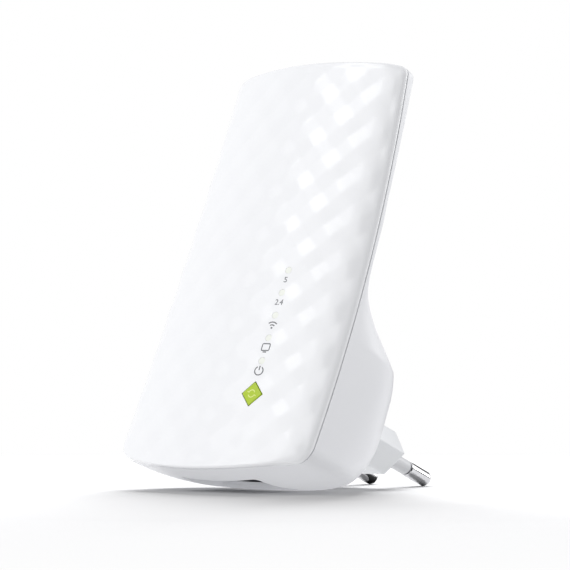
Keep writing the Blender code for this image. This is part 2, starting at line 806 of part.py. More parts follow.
def pair_button():
    """Diamond cap that stands in the cover, with a flange behind the wall and a stem."""
    cap = plate("pair_button", diamond(BUTTON_HALF), FACE_AT_COLUMN - BUTTON_PROUD,
                BUTTON_FLANGE_FRONT + BUTTON_FLANGE / 2.0, BUTTON_GREEN)
    soften(cap, BUTTON_EDGE)
    flange_rear = BUTTON_FLANGE_FRONT + BUTTON_FLANGE
    flange = plate("button_flange", diamond(FLANGE_REACH), BUTTON_FLANGE_FRONT, flange_rear, None)
    cut(cap, flange, "UNION")
    start = (COLUMN_X, flange_rear - BUTTON_FLANGE / 2.0, BUTTON_HEIGHT)
    end = (COLUMN_X, PLUNGER_FRONT - CLEAR, BUTTON_HEIGHT)
    return cut(cap, rod("button_stem", BUTTON_STEM_RADIUS, start, end, None), "UNION")


def pair_switch():
    half = SWITCH_SIZE / 2.0
    low = (COLUMN_X - half, SWITCH_FRONT, BUTTON_HEIGHT - half)
    high = (COLUMN_X + half, PART_FRONT, BUTTON_HEIGHT + half)
    body = box("pair_switch_body", low, high, BLACK_PLASTIC)
    bore_start = (COLUMN_X, SWITCH_FRONT - OVERCUT, BUTTON_HEIGHT)
    bore_end = (COLUMN_X, PART_FRONT + OVERCUT, BUTTON_HEIGHT)
    cut(body, rod("pair_switch_bore", PLUNGER_RADIUS + CLEAR, bore_start, bore_end, None))
    plunger_end = (COLUMN_X, PART_FRONT - BUTTON_TRAVEL, BUTTON_HEIGHT)
    rod("pair_switch_plunger", PLUNGER_RADIUS, (COLUMN_X, PLUNGER_FRONT, BUTTON_HEIGHT), plunger_end, STEEL)


def status_lights():
    led_front = PART_FRONT - LED_HEIGHT
    guide_rear = led_front - CLEAR
    guide_front = guide_rear - GUIDE_THICKNESS
    half = GUIDE_WIDTH / 2.0
    low = (COLUMN_X - half, guide_front, LIGHT_HEIGHTS[0] - GUIDE_END_ROOM)
    high = (COLUMN_X + half, guide_rear, LIGHT_HEIGHTS[-1] + GUIDE_END_ROOM)
    guide = box("light_guide", low, high, CLEAR_GUIDE)
    for k, height in enumerate(LIGHT_HEIGHTS):
        tip = (COLUMN_X, face_depth(COLUMN_X, height) + LIGHT_SINK, height)
        middle = (COLUMN_X, (guide_front + guide_rear) / 2.0, height)
        cut(guide, rod("light_pipe_%d" % k, LIGHT_RADIUS, tip, middle, None), "UNION")
        led_half = LED_SIZE / 2.0
        led_low = (COLUMN_X - led_half, led_front, height - led_half)
        led_high = (COLUMN_X + led_half, PART_FRONT, height + led_half)
        box("led_%d" % (k + 1), led_low, led_high, LED_CREAM)


# Main board pieces

def main_board():
    low = (-BOARD_HALF_WIDTH, BOARD_DEPTH, BOARD_FOOT)
    high = (BOARD_HALF_WIDTH, BOARD_REAR, BOARD_TOP)
    board = box("main_board", low, high, BOARD_GREEN)
    for k, (across, height) in enumerate(POST_PLACES):
        start = (across, BOARD_DEPTH - OVERCUT, height)
        end = (across, BOARD_REAR + OVERCUT, height)
        cut(board, rod("board_hole_%d" % k, SCREW_RADIUS + CLEAR, start, end, None))


def board_screw(number, across, height):
    """Pan-head screw through the board into a post."""
    head_rear = BOARD_DEPTH - CLEAR
    head_front = head_rear - SCREW_HEAD
    end = PART_REAR + SCREW_LENGTH - CLEAR
    profile = [
        (0.0, end),
        (SCREW_RADIUS, end - SCREW_RADIUS),
        (SCREW_RADIUS, head_rear),
        (SCREW_HEAD_RADIUS, head_rear),
        (SCREW_HEAD_RADIUS, head_front + SCREW_HEAD / 2.0),
        (SCREW_HEAD_RADIUS - SCREW_HEAD / 2.0, head_front),
        (0.0, head_front),
    ]
    turned("board_screw_%d" % number, profile, False, (across, 0.0, height), STEEL, SMALL_SEGMENTS)


def shield_can():
    front = PART_FRONT - CAN_THICKNESS
    low = Vector((CAN_LEFT, front, CAN_FOOT))
    high = Vector((CAN_LEFT + CAN_WIDTH, PART_FRONT, CAN_FOOT + CAN_HEIGHT))
    can = box("shield_can", low, high, TIN)
    wall = Vector((CAN_WALL, CAN_WALL, CAN_WALL))
    open_side = Vector((-CAN_WALL, OVERCUT, -CAN_WALL))
    cut(can, box("can_hollow", low + wall, high + open_side, None))
    middle = (low + high) / 2.0
    half = WIFI_CHIP_SIZE / 2.0
    chip_low = (middle.x - half, PART_FRONT - WIFI_CHIP_THICKNESS, middle.z - half)
    box("wifi_chip", chip_low, (middle.x + half, PART_FRONT, middle.z + half), CHIP_BLACK)


def small_chips():
    flash_low = (FLASH_CHIP_X - FLASH_CHIP_WIDTH / 2.0, PART_FRONT - FLASH_CHIP_THICKNESS, FLASH_CHIP_FOOT)
    flash_high = (FLASH_CHIP_X + FLASH_CHIP_WIDTH / 2.0, PART_FRONT, FLASH_CHIP_FOOT + FLASH_CHIP_HEIGHT)
    box("flash_chip", flash_low, flash_high, CHIP_BLACK)
    crystal_low = (CRYSTAL_LEFT, PART_FRONT - CRYSTAL_THICKNESS, CRYSTAL_FOOT)
    crystal_high = (CRYSTAL_LEFT + CRYSTAL_WIDTH, PART_FRONT, CRYSTAL_FOOT + CRYSTAL_HEIGHT)
    box("crystal", crystal_low, crystal_high, TIN)
    magnetics_low = (MAGNETICS_X - MAGNETICS_WIDTH / 2.0, PART_REAR, MAGNETICS_FOOT)
    magnetics_high = (MAGNETICS_X + MAGNETICS_WIDTH / 2.0, PART_REAR + MAGNETICS_THICKNESS,
                      MAGNETICS_FOOT + MAGNETICS_HEIGHT)
    box("lan_magnetics", magnetics_low, magnetics_high, CHIP_BLACK)


# Network jack and reset switch

def lan_jack():
    low = Vector((JACK_X - JACK_WIDTH / 2.0, PART_REAR, JACK_FOOT))
    high = Vector((JACK_X + JACK_WIDTH / 2.0, PART_REAR + JACK_DEPTH, JACK_FOOT + JACK_HEIGHT))
    shell = box("lan_jack_shell", low, high, TIN)
    wall = Vector((JACK_SHELL, JACK_SHELL, -OVERCUT))
    far_wall = Vector((-JACK_SHELL, -JACK_SHELL, -JACK_SHELL))
    cut(shell, box("jack_hollow", low + wall, high + far_wall, None))
    room = JACK_SHELL + CLEAR
    insert_low = low + Vector((room, room, 0.0))
    insert_high = high - Vector((room, room, room))
    insert = box("lan_jack_insert", insert_low, insert_high, BLACK_PLASTIC)
    middle = (insert_low + insert_high) / 2.0
    across = JACK_MOUTH_WIDTH / 2.0
    along = JACK_MOUTH_DEPTH / 2.0
    mouth_low = (middle.x - across, middle.y - along, JACK_FOOT - OVERCUT)
    mouth_high = (middle.x + across, middle.y + along, JACK_FOOT + JACK_MOUTH_REACH)
    cut(insert, box("jack_mouth", mouth_low, mouth_high, None))
    bezel_low = (-BEZEL_HALF_WIDTH, BEZEL_FRONT, BEZEL_FOOT)
    bezel_high = (BEZEL_HALF_WIDTH, BEZEL_REAR, BEZEL_FOOT + BEZEL_THICKNESS)
    bezel = box("port_bezel", bezel_low, bezel_high, HOUSING_WHITE)
    cut(bezel, box("bezel_mouth", mouth_low, mouth_high, None))
    hole_start = (RESET_X, RESET_DEPTH_MIDDLE, BEZEL_FOOT - OVERCUT)
    hole_end = (RESET_X, RESET_DEPTH_MIDDLE, JACK_FOOT)
    cut(bezel, rod("reset_hole", RESET_HOLE_RADIUS, hole_start, hole_end, None))


def reset_switch():
    foot = JACK_FOOT + RESET_PLUNGER_PROUD
    half = RESET_WIDTH / 2.0
    low = (RESET_X - half, PART_REAR, foot)
    high = (RESET_X + half, PART_REAR + RESET_DEPTH, foot + RESET_HEIGHT)
    body = box("reset_switch_body", low, high, BLACK_PLASTIC)
    bore_start = (RESET_X, RESET_DEPTH_MIDDLE, foot - OVERCUT)
    bore_end = (RESET_X, RESET_DEPTH_MIDDLE, foot + RESET_HEIGHT + OVERCUT)
    cut(body, rod("reset_bore", RESET_PLUNGER_RADIUS + CLEAR, bore_start, bore_end, None))
    plunger_start = (RESET_X, RESET_DEPTH_MIDDLE, JACK_FOOT)
    plunger_end = (RESET_X, RESET_DEPTH_MIDDLE, foot + RESET_HEIGHT - RESET_TRAVEL)
    rod("reset_switch_plunger", RESET_PLUNGER_RADIUS, plunger_start, plunger_end, STEEL)


# Power supply pieces

def power_board():
    half = POWER_BOARD_WIDTH / 2.0
    low = (-half, POWER_FRONT, POWER_BOARD_FOOT)
    return box("power_board", low, (half, POWER_REAR, POWER_BOARD_TOP), BOARD_GREEN)


def transformer():
    """Ferrite core with two windows and a winding round its middle leg."""
    winding_half_depth = CORE_DEPTH / 2.0 + CLEAR + WINDING_BULGE
    core_height = JACK_FOOT + JACK_HEIGHT + CORE_ROOM + CORE_HEIGHT / 2.0
    middle = Vector((0.0, SUPPLY_SEAT - winding_half_depth, core_height))
    half = Vector((CORE_WIDTH, CORE_DEPTH, CORE_HEIGHT)) / 2.0
    core = box("transformer_core", middle - half, middle + half, FERRITE)
    window_height = CORE_HEIGHT / 2.0 - CORE_YOKE
    for side in (-1.0, 1.0):
        window_middle = middle + Vector((side * (CORE_LEG + CORE_WINDOW) / 2.0, 0.0, 0.0))
        window_half = Vector((CORE_WINDOW / 2.0, OVERCUT, window_height))
        window_name = "core_window_%d" % (side > 0.0)
        cut(core, box(window_name, window_middle - window_half, window_middle + window_half, None))
    bore_half = Vector((CORE_LEG / 2.0 + CLEAR, CORE_DEPTH / 2.0 + CLEAR, OVERCUT))
    wound_half = Vector((CORE_LEG / 2.0 + CORE_WINDOW - CLEAR, winding_half_depth, window_height - CLEAR))
    winding = box("transformer_winding", middle - wound_half, middle + wound_half, TAPE_YELLOW)
    cut(winding, box("winding_bore", middle - bore_half, middle + bore_half, None))


def capacitor(name, radius, length, across, height, material):
    """Upright can capacitor on the power board, with rolled edges."""
    front = SUPPLY_SEAT - length
    profile = [
        (0.0, SUPPLY_SEAT),
        (radius - CAPACITOR_EDGE, SUPPLY_SEAT),
        (radius, SUPPLY_SEAT - CAPACITOR_EDGE),
        (radius, front + CAPACITOR_EDGE),
        (radius - CAPACITOR_EDGE, front),
        (0.0, front),
    ]
    turned(name, profile, False, (across, 0.0, height), material, SMALL_SEGMENTS)


def small_power_parts():
    across = BRIDGE_WIDTH / 2.0
    rise = BRIDGE_TALL / 2.0
    bridge_low = (BRIDGE_X - across, SUPPLY_SEAT - BRIDGE_THICKNESS, BRIDGE_HEIGHT - rise)
    bridge_high = (BRIDGE_X + across, SUPPLY_SEAT, BRIDGE_HEIGHT + rise)
    box("bridge_rectifier", bridge_low, bridge_high, CHIP_BLACK)
    fuse_depth = SUPPLY_SEAT - FUSE_RADIUS
    fuse_start = (FUSE_X - FUSE_LENGTH / 2.0, fuse_depth, FUSE_HEIGHT)
    fuse_end = (FUSE_X + FUSE_LENGTH / 2.0, fuse_depth, FUSE_HEIGHT)
    rod("fusible_resistor", FUSE_RADIUS, fuse_start, fuse_end, RESISTOR_BLUE)


def supply_lead(name, height, material):
    """Low-voltage lead from the power board to the main board."""
    start = (LEAD_X, PART_REAR, height)
    middle = (LEAD_X + LEAD_SWAY, (PART_REAR + SUPPLY_SEAT) / 2.0, height)
    tube(name, [start, middle, (LEAD_X, SUPPLY_SEAT, height)], LEAD_RADIUS, material)


# Antenna pieces

ANTENNA_TOP = BODY_HEIGHT - ANTENNA_TOP_ROOM
ANTENNA_FOOT = BOARD_TOP + ANTENNA_FOOT_ROOM
ANTENNA_REAR = inside_depth(ANTENNA_X + ANTENNA_WIDTH / 2.0, ANTENNA_TOP) - CLEAR


def antenna(side, sign):
    """Slotted flat antenna in the slab, with its coaxial lead to the main board."""
    left = sign * ANTENNA_X - ANTENNA_WIDTH / 2.0
    right = left + ANTENNA_WIDTH
    front = ANTENNA_REAR - ANTENNA_THICKNESS
    blade = box("antenna_" + side, (left, front, ANTENNA_FOOT), (right, ANTENNA_REAR, ANTENNA_TOP), COPPER)
    slot_low = (left + ANTENNA_ARM, front - OVERCUT, ANTENNA_FOOT + ANTENNA_ARM)
    slot_high = (left + ANTENNA_ARM + ANTENNA_SLOT, ANTENNA_REAR + OVERCUT, ANTENNA_TOP + OVERCUT)
    cut(blade, box("antenna_slot_" + side, slot_low, slot_high, None))
    end_depth = PART_FRONT - COAX_RADIUS
    start = (sign * ANTENNA_X, ANTENNA_REAR - ANTENNA_THICKNESS / 2.0, ANTENNA_FOOT - CLEAR)
    halfway = (sign * ANTENNA_X, (start[1] + end_depth) / 2.0, (ANTENNA_FOOT + BOARD_TOP) / 2.0)
    end = (sign * ANTENNA_X, end_depth, BOARD_TOP - 3.0 * COAX_RADIUS)
    tube("antenna_lead_" + side, [start, halfway, end], COAX_RADIUS, COAX_GREY)


# Standing pose

def upright_points(names):
    """Evaluated corners of some pieces, in the upright frame."""
    graph = bpy.context.evaluated_depsgraph_get()
    points = []
    for name in names:
        item = bpy.data.objects[name].evaluated_get(graph)
        mesh = item.to_mesh()
        points += [item.matrix_world @ corner.co for corner in mesh.vertices]
        item.to_mesh_clear()
    return points


def stand_on_floor():
    """Lean the device back until its heel and its pins touch z = 0, centred on the origin."""
    shell = upright_points(["rear_housing"])
    ends = upright_points(["pin_left", "pin_right"])
    slopes = []
    for tip in ends:
        slopes.append(max((tip.z - low.z) / (tip.y - low.y) for low in shell if low.y < tip.y))
    STAND.rotation_euler = (-math.atan(min(slopes)), 0.0, 0.0)
    bpy.context.view_layer.update()
    outside = upright_points(["rear_housing", "front_cover", "pin_left", "pin_right", "pair_button"])
    depths = [point.y for point in outside]
    lowest = min(point.z for point in outside)
    STAND.location = (0.0, -(min(depths) + max(depths)) / 2.0, -lowest)
    bpy.context.view_layer.update()


rear_housing()
front_cover()
plug_body()
for pin_side, pin_x in PIN_SIDES.items():
    pin(pin_side, pin_x)
    pin_sleeve(pin_side, pin_x)
pair_button()
pair_switch()
status_lights()
main_board()
for post_number, (post_x, post_height) in enumerate(POST_PLACES):
    board_screw(post_number + 1, post_x, post_height)
shield_can()
small_chips()
lan_jack()
reset_switch()
power_board()
transformer()
capacitor("bulk_capacitor_left", BULK_RADIUS, BULK_LENGTH, -BULK_X, BULK_HEIGHT, SLEEVE_BLACK)
capacitor("bulk_capacitor_right", BULK_RADIUS, BULK_LENGTH, BULK_X, BULK_HEIGHT, SLEEVE_BLACK)
capacitor("output_capacitor", OUTPUT_RADIUS, OUTPUT_LENGTH, OUTPUT_X, OUTPUT_HEIGHT, SLEEVE_BLACK)
small_power_parts()
supply_lead("supply_lead_red", LEAD_HEIGHT, WIRE_RED)
supply_lead("supply_lead_black", LEAD_HEIGHT + LEAD_PITCH, WIRE_BLACK)
antenna("left", -1.0)
antenna("right", 1.0)
bpy.context.view_layer.update()
stand_on_floor()
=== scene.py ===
"""Looks of a wall-plug wifi range extender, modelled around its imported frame.

Every piece is shaped upright, in metres: +X to the right, +Y from the front to the plug, +Z up,
with the crown of the face at depth 0 and the middle of the foot edge at height 0. It is then
leaned back to where the frame stands.
"""

import json
import math
from contextlib import contextmanager

import bpy
from bpy.props import FloatProperty, FloatVectorProperty, IntProperty, PointerProperty
from mathutils import Matrix, Vector


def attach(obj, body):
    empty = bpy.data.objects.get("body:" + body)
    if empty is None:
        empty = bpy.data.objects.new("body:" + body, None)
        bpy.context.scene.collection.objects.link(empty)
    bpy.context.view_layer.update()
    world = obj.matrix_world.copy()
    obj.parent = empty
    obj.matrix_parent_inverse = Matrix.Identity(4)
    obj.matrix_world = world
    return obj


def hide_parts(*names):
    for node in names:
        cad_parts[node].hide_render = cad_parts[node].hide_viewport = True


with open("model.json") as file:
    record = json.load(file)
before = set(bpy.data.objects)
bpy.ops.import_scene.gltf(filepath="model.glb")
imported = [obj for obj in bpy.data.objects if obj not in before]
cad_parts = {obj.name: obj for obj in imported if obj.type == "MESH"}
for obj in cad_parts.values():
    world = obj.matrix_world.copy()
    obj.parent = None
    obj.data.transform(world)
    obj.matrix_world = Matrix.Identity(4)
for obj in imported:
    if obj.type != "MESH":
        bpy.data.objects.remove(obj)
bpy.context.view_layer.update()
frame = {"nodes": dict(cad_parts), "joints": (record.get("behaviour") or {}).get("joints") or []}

bl_info = {
    "name": "Wifi Range Extender",
    "version": (1, 0, 0),
    "blender": (4, 5, 0),
    "location": "View3D > Sidebar > Extender",
    "description": "Models the casing, plug, button and studio of a wall-plug wifi range extender",
    "category": "Object",
}

MM = 0.001

# Form of the casing that no setting changes, in metres
FOOT_BOW = 3.8 * MM
FOOT_BOW_FADE = 8.6 * MM
TOP_BOW = 0.1 * MM
TOP_BOW_FADE = 12.0 * MM
FOOT_CORNER = 5.0 * MM
TOP_CORNER = 2.2 * MM
FACE_SHOULDER = 0.20
FACE_SHOULDER_START = 0.82
SLAB_FOOT_DEPTH = 1.4 * MM
SLAB_ROUND = 2.2 * MM
SHOULDER_HOLLOW = 30.0 * MM
SHOULDER_ROUND = 14.0 * MM
BELLY_ROUND = 60.0 * MM
SLAB_POWER = 9.0
POD_POWER = 3.0
POD_TOP = 38.0 * MM
SHOULDER_POWER = 2.0
SHOULDER_TAPER = 1.05

# Mesh density
FACE_STEP = 0.46 * MM
EDGE_STEPS = 5
PATH_STEP = 1.4 * MM
PATH_TURN = math.radians(3.0)
SECTION_COLUMNS = 96
ARC_STEPS = 8
ROUND_SEGMENTS = 64
SMOOTH_ANGLE = math.radians(32.0)
WELD = 1.0e-6
OVERCUT = 8.0 * MM

# Places of a colour Mix node's sockets
MIX_A = 6
MIX_B = 7
MIX_COLOUR = 2


def linear(code):
    """An sRGB hex colour as linear red, green, blue and alpha."""
    channels = [int(code[k:k + 2], 16) / 255.0 for k in (1, 3, 5)]
    return [c / 12.92 if c <= 0.04045 else ((c + 0.055) / 1.055) ** 2.4 for c in channels] + [1.0]


# Settings

class CasingSettings(bpy.types.PropertyGroup):
    """Form of the casing: the bowed face, the seam behind it and the rear shell."""

    height: FloatProperty(
        name="Height", description="Foot edge to top edge", default=110.8 * MM, unit="LENGTH")
    foot_width: FloatProperty(
        name="Foot width", description="Width at the foot", default=65.2 * MM, unit="LENGTH")
    top_width: FloatProperty(
        name="Top width", description="Width at the top", default=58.4 * MM, unit="LENGTH")
    side_swell: FloatProperty(
        name="Side swell", description="How far each side bows out", default=1.3 * MM, unit="LENGTH")
    wall: FloatProperty(
        name="Wall", description="Thickness of both shells", default=1.8 * MM, unit="LENGTH")
    face_bow: FloatProperty(
        name="Face bow", description="Depth of the face's sides behind its crown, at its ends",
        default=5.9 * MM, unit="LENGTH")
    face_swell: FloatProperty(
        name="Face swell", description="Further depth of the sides halfway up",
        default=2.4 * MM, unit="LENGTH")
    face_edge: FloatProperty(
        name="Face edge", description="Radius of the face's edge", default=0.7 * MM, unit="LENGTH")
    cover_edge: FloatProperty(
        name="Cover edge", description="Depth of the seam behind the face's edge",
        default=1.4 * MM, unit="LENGTH")
    seam_gap: FloatProperty(
        name="Seam gap", description="Groove between the two shells", default=0.4 * MM, unit="LENGTH")
    slab_depth: FloatProperty(
        name="Slab depth", description="Depth of the rear shell at the top",
        default=3.2 * MM, unit="LENGTH")
    shoulder_top: FloatProperty(
        name="Shoulder top", description="Height where the rear shell starts to swell",
        default=59.0 * MM, unit="LENGTH")
    shoulder_angle: FloatProperty(
        name="Shoulder angle", description="Fall of the shoulder behind the slab",
        default=math.radians(33.0), subtype="ANGLE", unit="ROTATION")
    pod_depth: FloatProperty(
        name="Pod depth", description="Depth of the rear face", default=42.4 * MM, unit="LENGTH")
    heel_round: FloatProperty(
        name="Heel", description="Radius under the rear face", default=18.0 * MM, unit="LENGTH")
    heel_height: FloatProperty(
        name="Heel height", description="Height where the underside would meet the rear face",
        default=9.8 * MM, unit="LENGTH")
    belly_depth: FloatProperty(
        name="Belly depth", description="Depth of the underside's belly", default=16.0 * MM, unit="LENGTH")
    belly_height: FloatProperty(
        name="Belly height", description="Height of the underside's belly", default=0.6 * MM, unit="LENGTH")


class QuiltSettings(bpy.types.PropertyGroup):
    """Relief of the face: shallow four-sided pyramids in a staggered array."""

    pitch: FloatProperty(
        name="Pitch", description="Diagonal of one facet", default=6.06 * MM, unit="LENGTH")
    relief: FloatProperty(
        name="Relief", description="Height from a valley to a peak", default=0.42 * MM, unit="LENGTH")
    crispness: FloatProperty(
        name="Crispness", description="How sharp the ridges are, below 1",
        default=0.97, min=0.1, max=0.999, subtype="FACTOR")
    fade: FloatProperty(
        name="Fade", description="Width of the plain band along the edges",
        default=1.2 * MM, unit="LENGTH")


class ControlSettings(bpy.types.PropertyGroup):
    """The column of icons and lights on the face, and the pair button under it."""

    column: FloatProperty(
        name="Column", description="Distance of the column from the middle",
        default=13.8 * MM, unit="LENGTH")
    button_height: FloatProperty(
        name="Button height", description="Height of the pair button's centre",
        default=19.7 * MM, unit="LENGTH")
    button_half: FloatProperty(
        name="Button half", description="Half the button's diagonal", default=3.1 * MM, unit="LENGTH")
    button_proud: FloatProperty(
        name="Button proud", description="How far the button stands out of the face",
        default=0.15 * MM, unit="LENGTH")
    button_gap: FloatProperty(
        name="Button gap", description="Gap round the button, along its diagonal",
        default=0.25 * MM, unit="LENGTH")
    light_first: FloatProperty(
        name="First light", description="Height of the lowest status light",
        default=28.4 * MM, unit="LENGTH")
    light_radius: FloatProperty(
        name="Light radius", description="Radius of a status light's hole",
        default=0.9 * MM, unit="LENGTH")
    light_count: IntProperty(name="Lights", description="Number of status lights", default=5)
    stroke: FloatProperty(
        name="Stroke", description="Width of the icons' lines", default=0.30 * MM, unit="LENGTH")
    ink: FloatProperty(
        name="Ink", description="Height of the print on the face", default=0.02 * MM, unit="LENGTH")


class PlugSettings(bpy.types.PropertyGroup):
    """The flat mains plug behind the casing."""

    face_depth: FloatProperty(
        name="Face depth", description="Depth of the plug's face", default=55.1 * MM, unit="LENGTH")
    width: FloatProperty(
        name="Width", description="Width across the plug's points", default=35.1 * MM, unit="LENGTH")
    flat_width: FloatProperty(
        name="Flat width", description="Width of the plug's upper flat",
        default=24.9 * MM, unit="LENGTH")
    height: FloatProperty(
        name="Height", description="Height between the plug's flats", default=11.8 * MM, unit="LENGTH")
    axis_height: FloatProperty(
        name="Axis height", description="Height of the pins", default=25.4 * MM, unit="LENGTH")
    pin_spacing: FloatProperty(
        name="Pin spacing", description="Distance between the pins", default=18.6 * MM, unit="LENGTH")
    pin_radius: FloatProperty(
        name="Pin radius", description="Radius of a bare pin", default=2.0 * MM, unit="LENGTH")
    pin_length: FloatProperty(
        name="Pin length", description="Plug face to pin tip", default=19.0 * MM, unit="LENGTH")
    bare_length: FloatProperty(
        name="Bare length", description="Bare end of a pin", default=8.4 * MM, unit="LENGTH")
    sleeve_radius: FloatProperty(
        name="Sleeve radius", description="Radius of a pin's sleeve", default=1.92 * MM, unit="LENGTH")
    edge: FloatProperty(
        name="Edge", description="Radius of the plug's edges", default=0.5 * MM, unit="LENGTH")


class FinishSettings(bpy.types.PropertyGroup):
    """Colours of the visible pieces."""

    cover: FloatVectorProperty(
        name="Cover", description="White of the front cover", size=4, subtype="COLOR",
        default=linear("#F3F4F7"))
    housing: FloatVectorProperty(
        name="Housing", description="White of the rear shell", size=4, subtype="COLOR",
        default=linear("#ECEDF1"))
    plug: FloatVectorProperty(
        name="Plug", description="White of the plug", size=4, subtype="COLOR",
        default=linear("#EEF0F3"))
    button: FloatVectorProperty(
        name="Button", description="Yellow-green of the pair button", size=4, subtype="COLOR",
        default=linear("#AFCB0C"))
    ink: FloatVectorProperty(
        name="Ink", description="Grey of the printed icons", size=4, subtype="COLOR",
        default=linear("#6C6E73"))


class StageSettings(bpy.types.PropertyGroup):
    """Camera and light of the studio."""

    camera: FloatVectorProperty(
        name="Camera", description="Place of the camera", size=3, subtype="TRANSLATION",
        unit="LENGTH", default=(0.44972696, -0.47339179, 0.02554261))
    aim: FloatVectorProperty(
        name="Aim", description="Turn of the camera", size=3, subtype="EULER", unit="ROTATION",
        default=(math.radians(92.308393), math.radians(-0.033525), math.radians(43.837795)))
    lens: FloatProperty(
        name="Lens", description="Focal length on a 36 mm sensor, in millimetres", default=161.93246)
    sky: FloatProperty(
        name="Sky", description="Light from all round, as a share of white", default=0.68)
    rim: FloatProperty(
        name="Rim light", description="Light of the softbox at the rear right, as a share of white",
        default=0.40)
    key: FloatProperty(
        name="Key light", description="Light of the small softbox high in front, as a share of white",
        default=0.115)
    fill: FloatProperty(
        name="Fill light", description="Light of the large softbox at the front left, as a share of white",
        default=0.45)
    shade: FloatProperty(
        name="Shade light", default=2.80,
        description="Light on the table alone, which draws the shadow, as a share of white")
    table: FloatProperty(
        name="Table light", description="Light that the table gives upwards, as a share of white",
        default=0.82)


# Helpers that model by hand

def turned_points(count):
    """Points round a circle of radius 1."""
    turns = [2.0 * math.pi * k / count for k in range(count)]
    return [(math.cos(turn), math.sin(turn)) for turn in turns]


ROUND = turned_points(ROUND_SEGMENTS)


def activate(item):
    """Select one piece and nothing else."""
    bpy.ops.object.select_all(action="DESELECT")
    item.select_set(True)
    bpy.context.view_layer.objects.active = item


def begin(name, primitive, **settings):
    """Add a primitive by itself, with its place in its mesh."""
    bpy.ops.object.select_all(action="DESELECT")
    primitive(**settings)
    item = bpy.context.active_object
    bpy.ops.object.transform_apply(location=True, rotation=True, scale=True)
    item.name = name
    item.data.name = name
    return item


@contextmanager
def editing(item, kind="FACE", chosen=None):
    """Edit mode on one piece, with its chosen parts selected, or all of it."""
    activate(item)
    groups = {"VERT": item.data.vertices, "EDGE": item.data.edges, "FACE": item.data.polygons}
    for name, group in groups.items():
        flags = [chosen is None or (name == kind and chosen(part)) for part in group]
        group.foreach_set("select", flags)
    bpy.context.tool_settings.mesh_select_mode = [name == kind for name in groups]
    bpy.ops.object.mode_set(mode="EDIT")
    yield
    bpy.ops.object.mode_set(mode="OBJECT")


def face_out(item):
    with editing(item):
        bpy.ops.mesh.normals_make_consistent(inside=False)


def laid_grid(name, rows):
    """A grid primitive whose corners are drawn to rows of points."""
    across = len(rows[0]) - 1
    along = len(rows) - 1
    item = begin(name, bpy.ops.mesh.primitive_grid_add, x_subdivisions=across, y_subdivisions=along)
    for k, corner in enumerate(item.data.vertices):
        corner.co = rows[k // (across + 1)][k % (across + 1)]
    return item


def closed_form(name, near, far):
    """A closed form between two grids of points, bridged where their rims stand apart."""
    item = laid_grid(name, near)
    rear = laid_grid(name + "_rear", far)
    item.select_set(True)
    rear.select_set(True)
    bpy.context.view_layer.objects.active = item
    bpy.ops.object.join()
    with editing(item, "EDGE"):
        bpy.ops.mesh.remove_doubles(threshold=WELD)
        bpy.ops.mesh.select_all(action="DESELECT")
        bpy.ops.mesh.select_non_manifold(use_wire=False, use_multi_face=False, use_verts=False)
    if any(edge.select for edge in item.data.edges):
        with editing(item, "EDGE", lambda edge: edge.select):
            bpy.ops.mesh.bridge_edge_loops()
    face_out(item)
    return item


def prism(name, outline, start, end):
    """A disc drawn to an outline of (x, height) points and extruded in depth."""
    item = begin(name, bpy.ops.mesh.primitive_circle_add, vertices=len(outline), fill_type="NGON")
    for corner, (across, height) in zip(item.data.vertices, outline):
        corner.co = (across, start, height)
    with editing(item):
        bpy.ops.mesh.extrude_region_move(TRANSFORM_OT_translate={"value": (0.0, end - start, 0.0)})
    face_out(item)
    return item


def drawn_out(name, stations, centre, outline=ROUND):
    """A disc of an outline about a centre, extruded along the depth through (depth, size) stations."""
    across, height = centre
    depth, radius = stations[0]
    item = begin(name, bpy.ops.mesh.primitive_circle_add, vertices=len(outline), fill_type="NGON")
    for corner, (right, up) in zip(item.data.vertices, outline):
        corner.co = (across + radius * right, depth, height + radius * up)
    with editing(item):
        for next_depth, next_radius in stations[1:]:
            step = (0.0, next_depth - depth, 0.0)
            grow = next_radius / radius
            bpy.ops.mesh.extrude_region_move(TRANSFORM_OT_translate={"value": step})
            bpy.ops.transform.resize(value=(grow, 1.0, grow), center_override=(across, next_depth, height))
            depth = next_depth
            radius = next_radius
    face_out(item)
    return item


def block(name, low, high):
    """A cube stretched between two corners, for a cut or as the start of a piece."""
    low = Vector(low)
    high = Vector(high)
    return begin(name, bpy.ops.mesh.primitive_cube_add, size=1.0, location=(low + high) / 2.0,
                 scale=high - low)


def carve(item, tool, operation="DIFFERENCE"):
    """Cut a piece by a tool, or join the tool to it, and put the tool away."""
    before = len(item.data.vertices)
    step = item.modifiers.new(operation.lower(), "BOOLEAN")
    step.operation = operation
    step.solver = "MANIFOLD"
    step.object = tool
    activate(item)
    bpy.ops.object.modifier_apply(modifier=step.name)
    bpy.data.objects.remove(tool, do_unlink=True)
    if len(item.data.vertices) in (0, before):
        raise RuntimeError("%s wasn't changed by its %s" % (item.name, operation.lower()))
    return item


def rounded(item, kind, chosen, radius, segments):
    """Bevel the chosen edges."""
    with editing(item, kind, chosen):
        bpy.ops.mesh.bevel(offset=radius, segments=segments, profile=0.5, affect="EDGES")
    return item


def settle(item, body, material, slot, *nodes):
    """Lean a finished piece back as the frame stands, and give it its body and its finish."""
    activate(item)
    bpy.ops.object.shade_smooth_by_angle(angle=SMOOTH_ANGLE)
    item.data.transform(STAND)
    item.data.materials.clear()
    item.data.materials.append(material)
    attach(item, body)
    if nodes:
        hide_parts(*nodes)
    return item


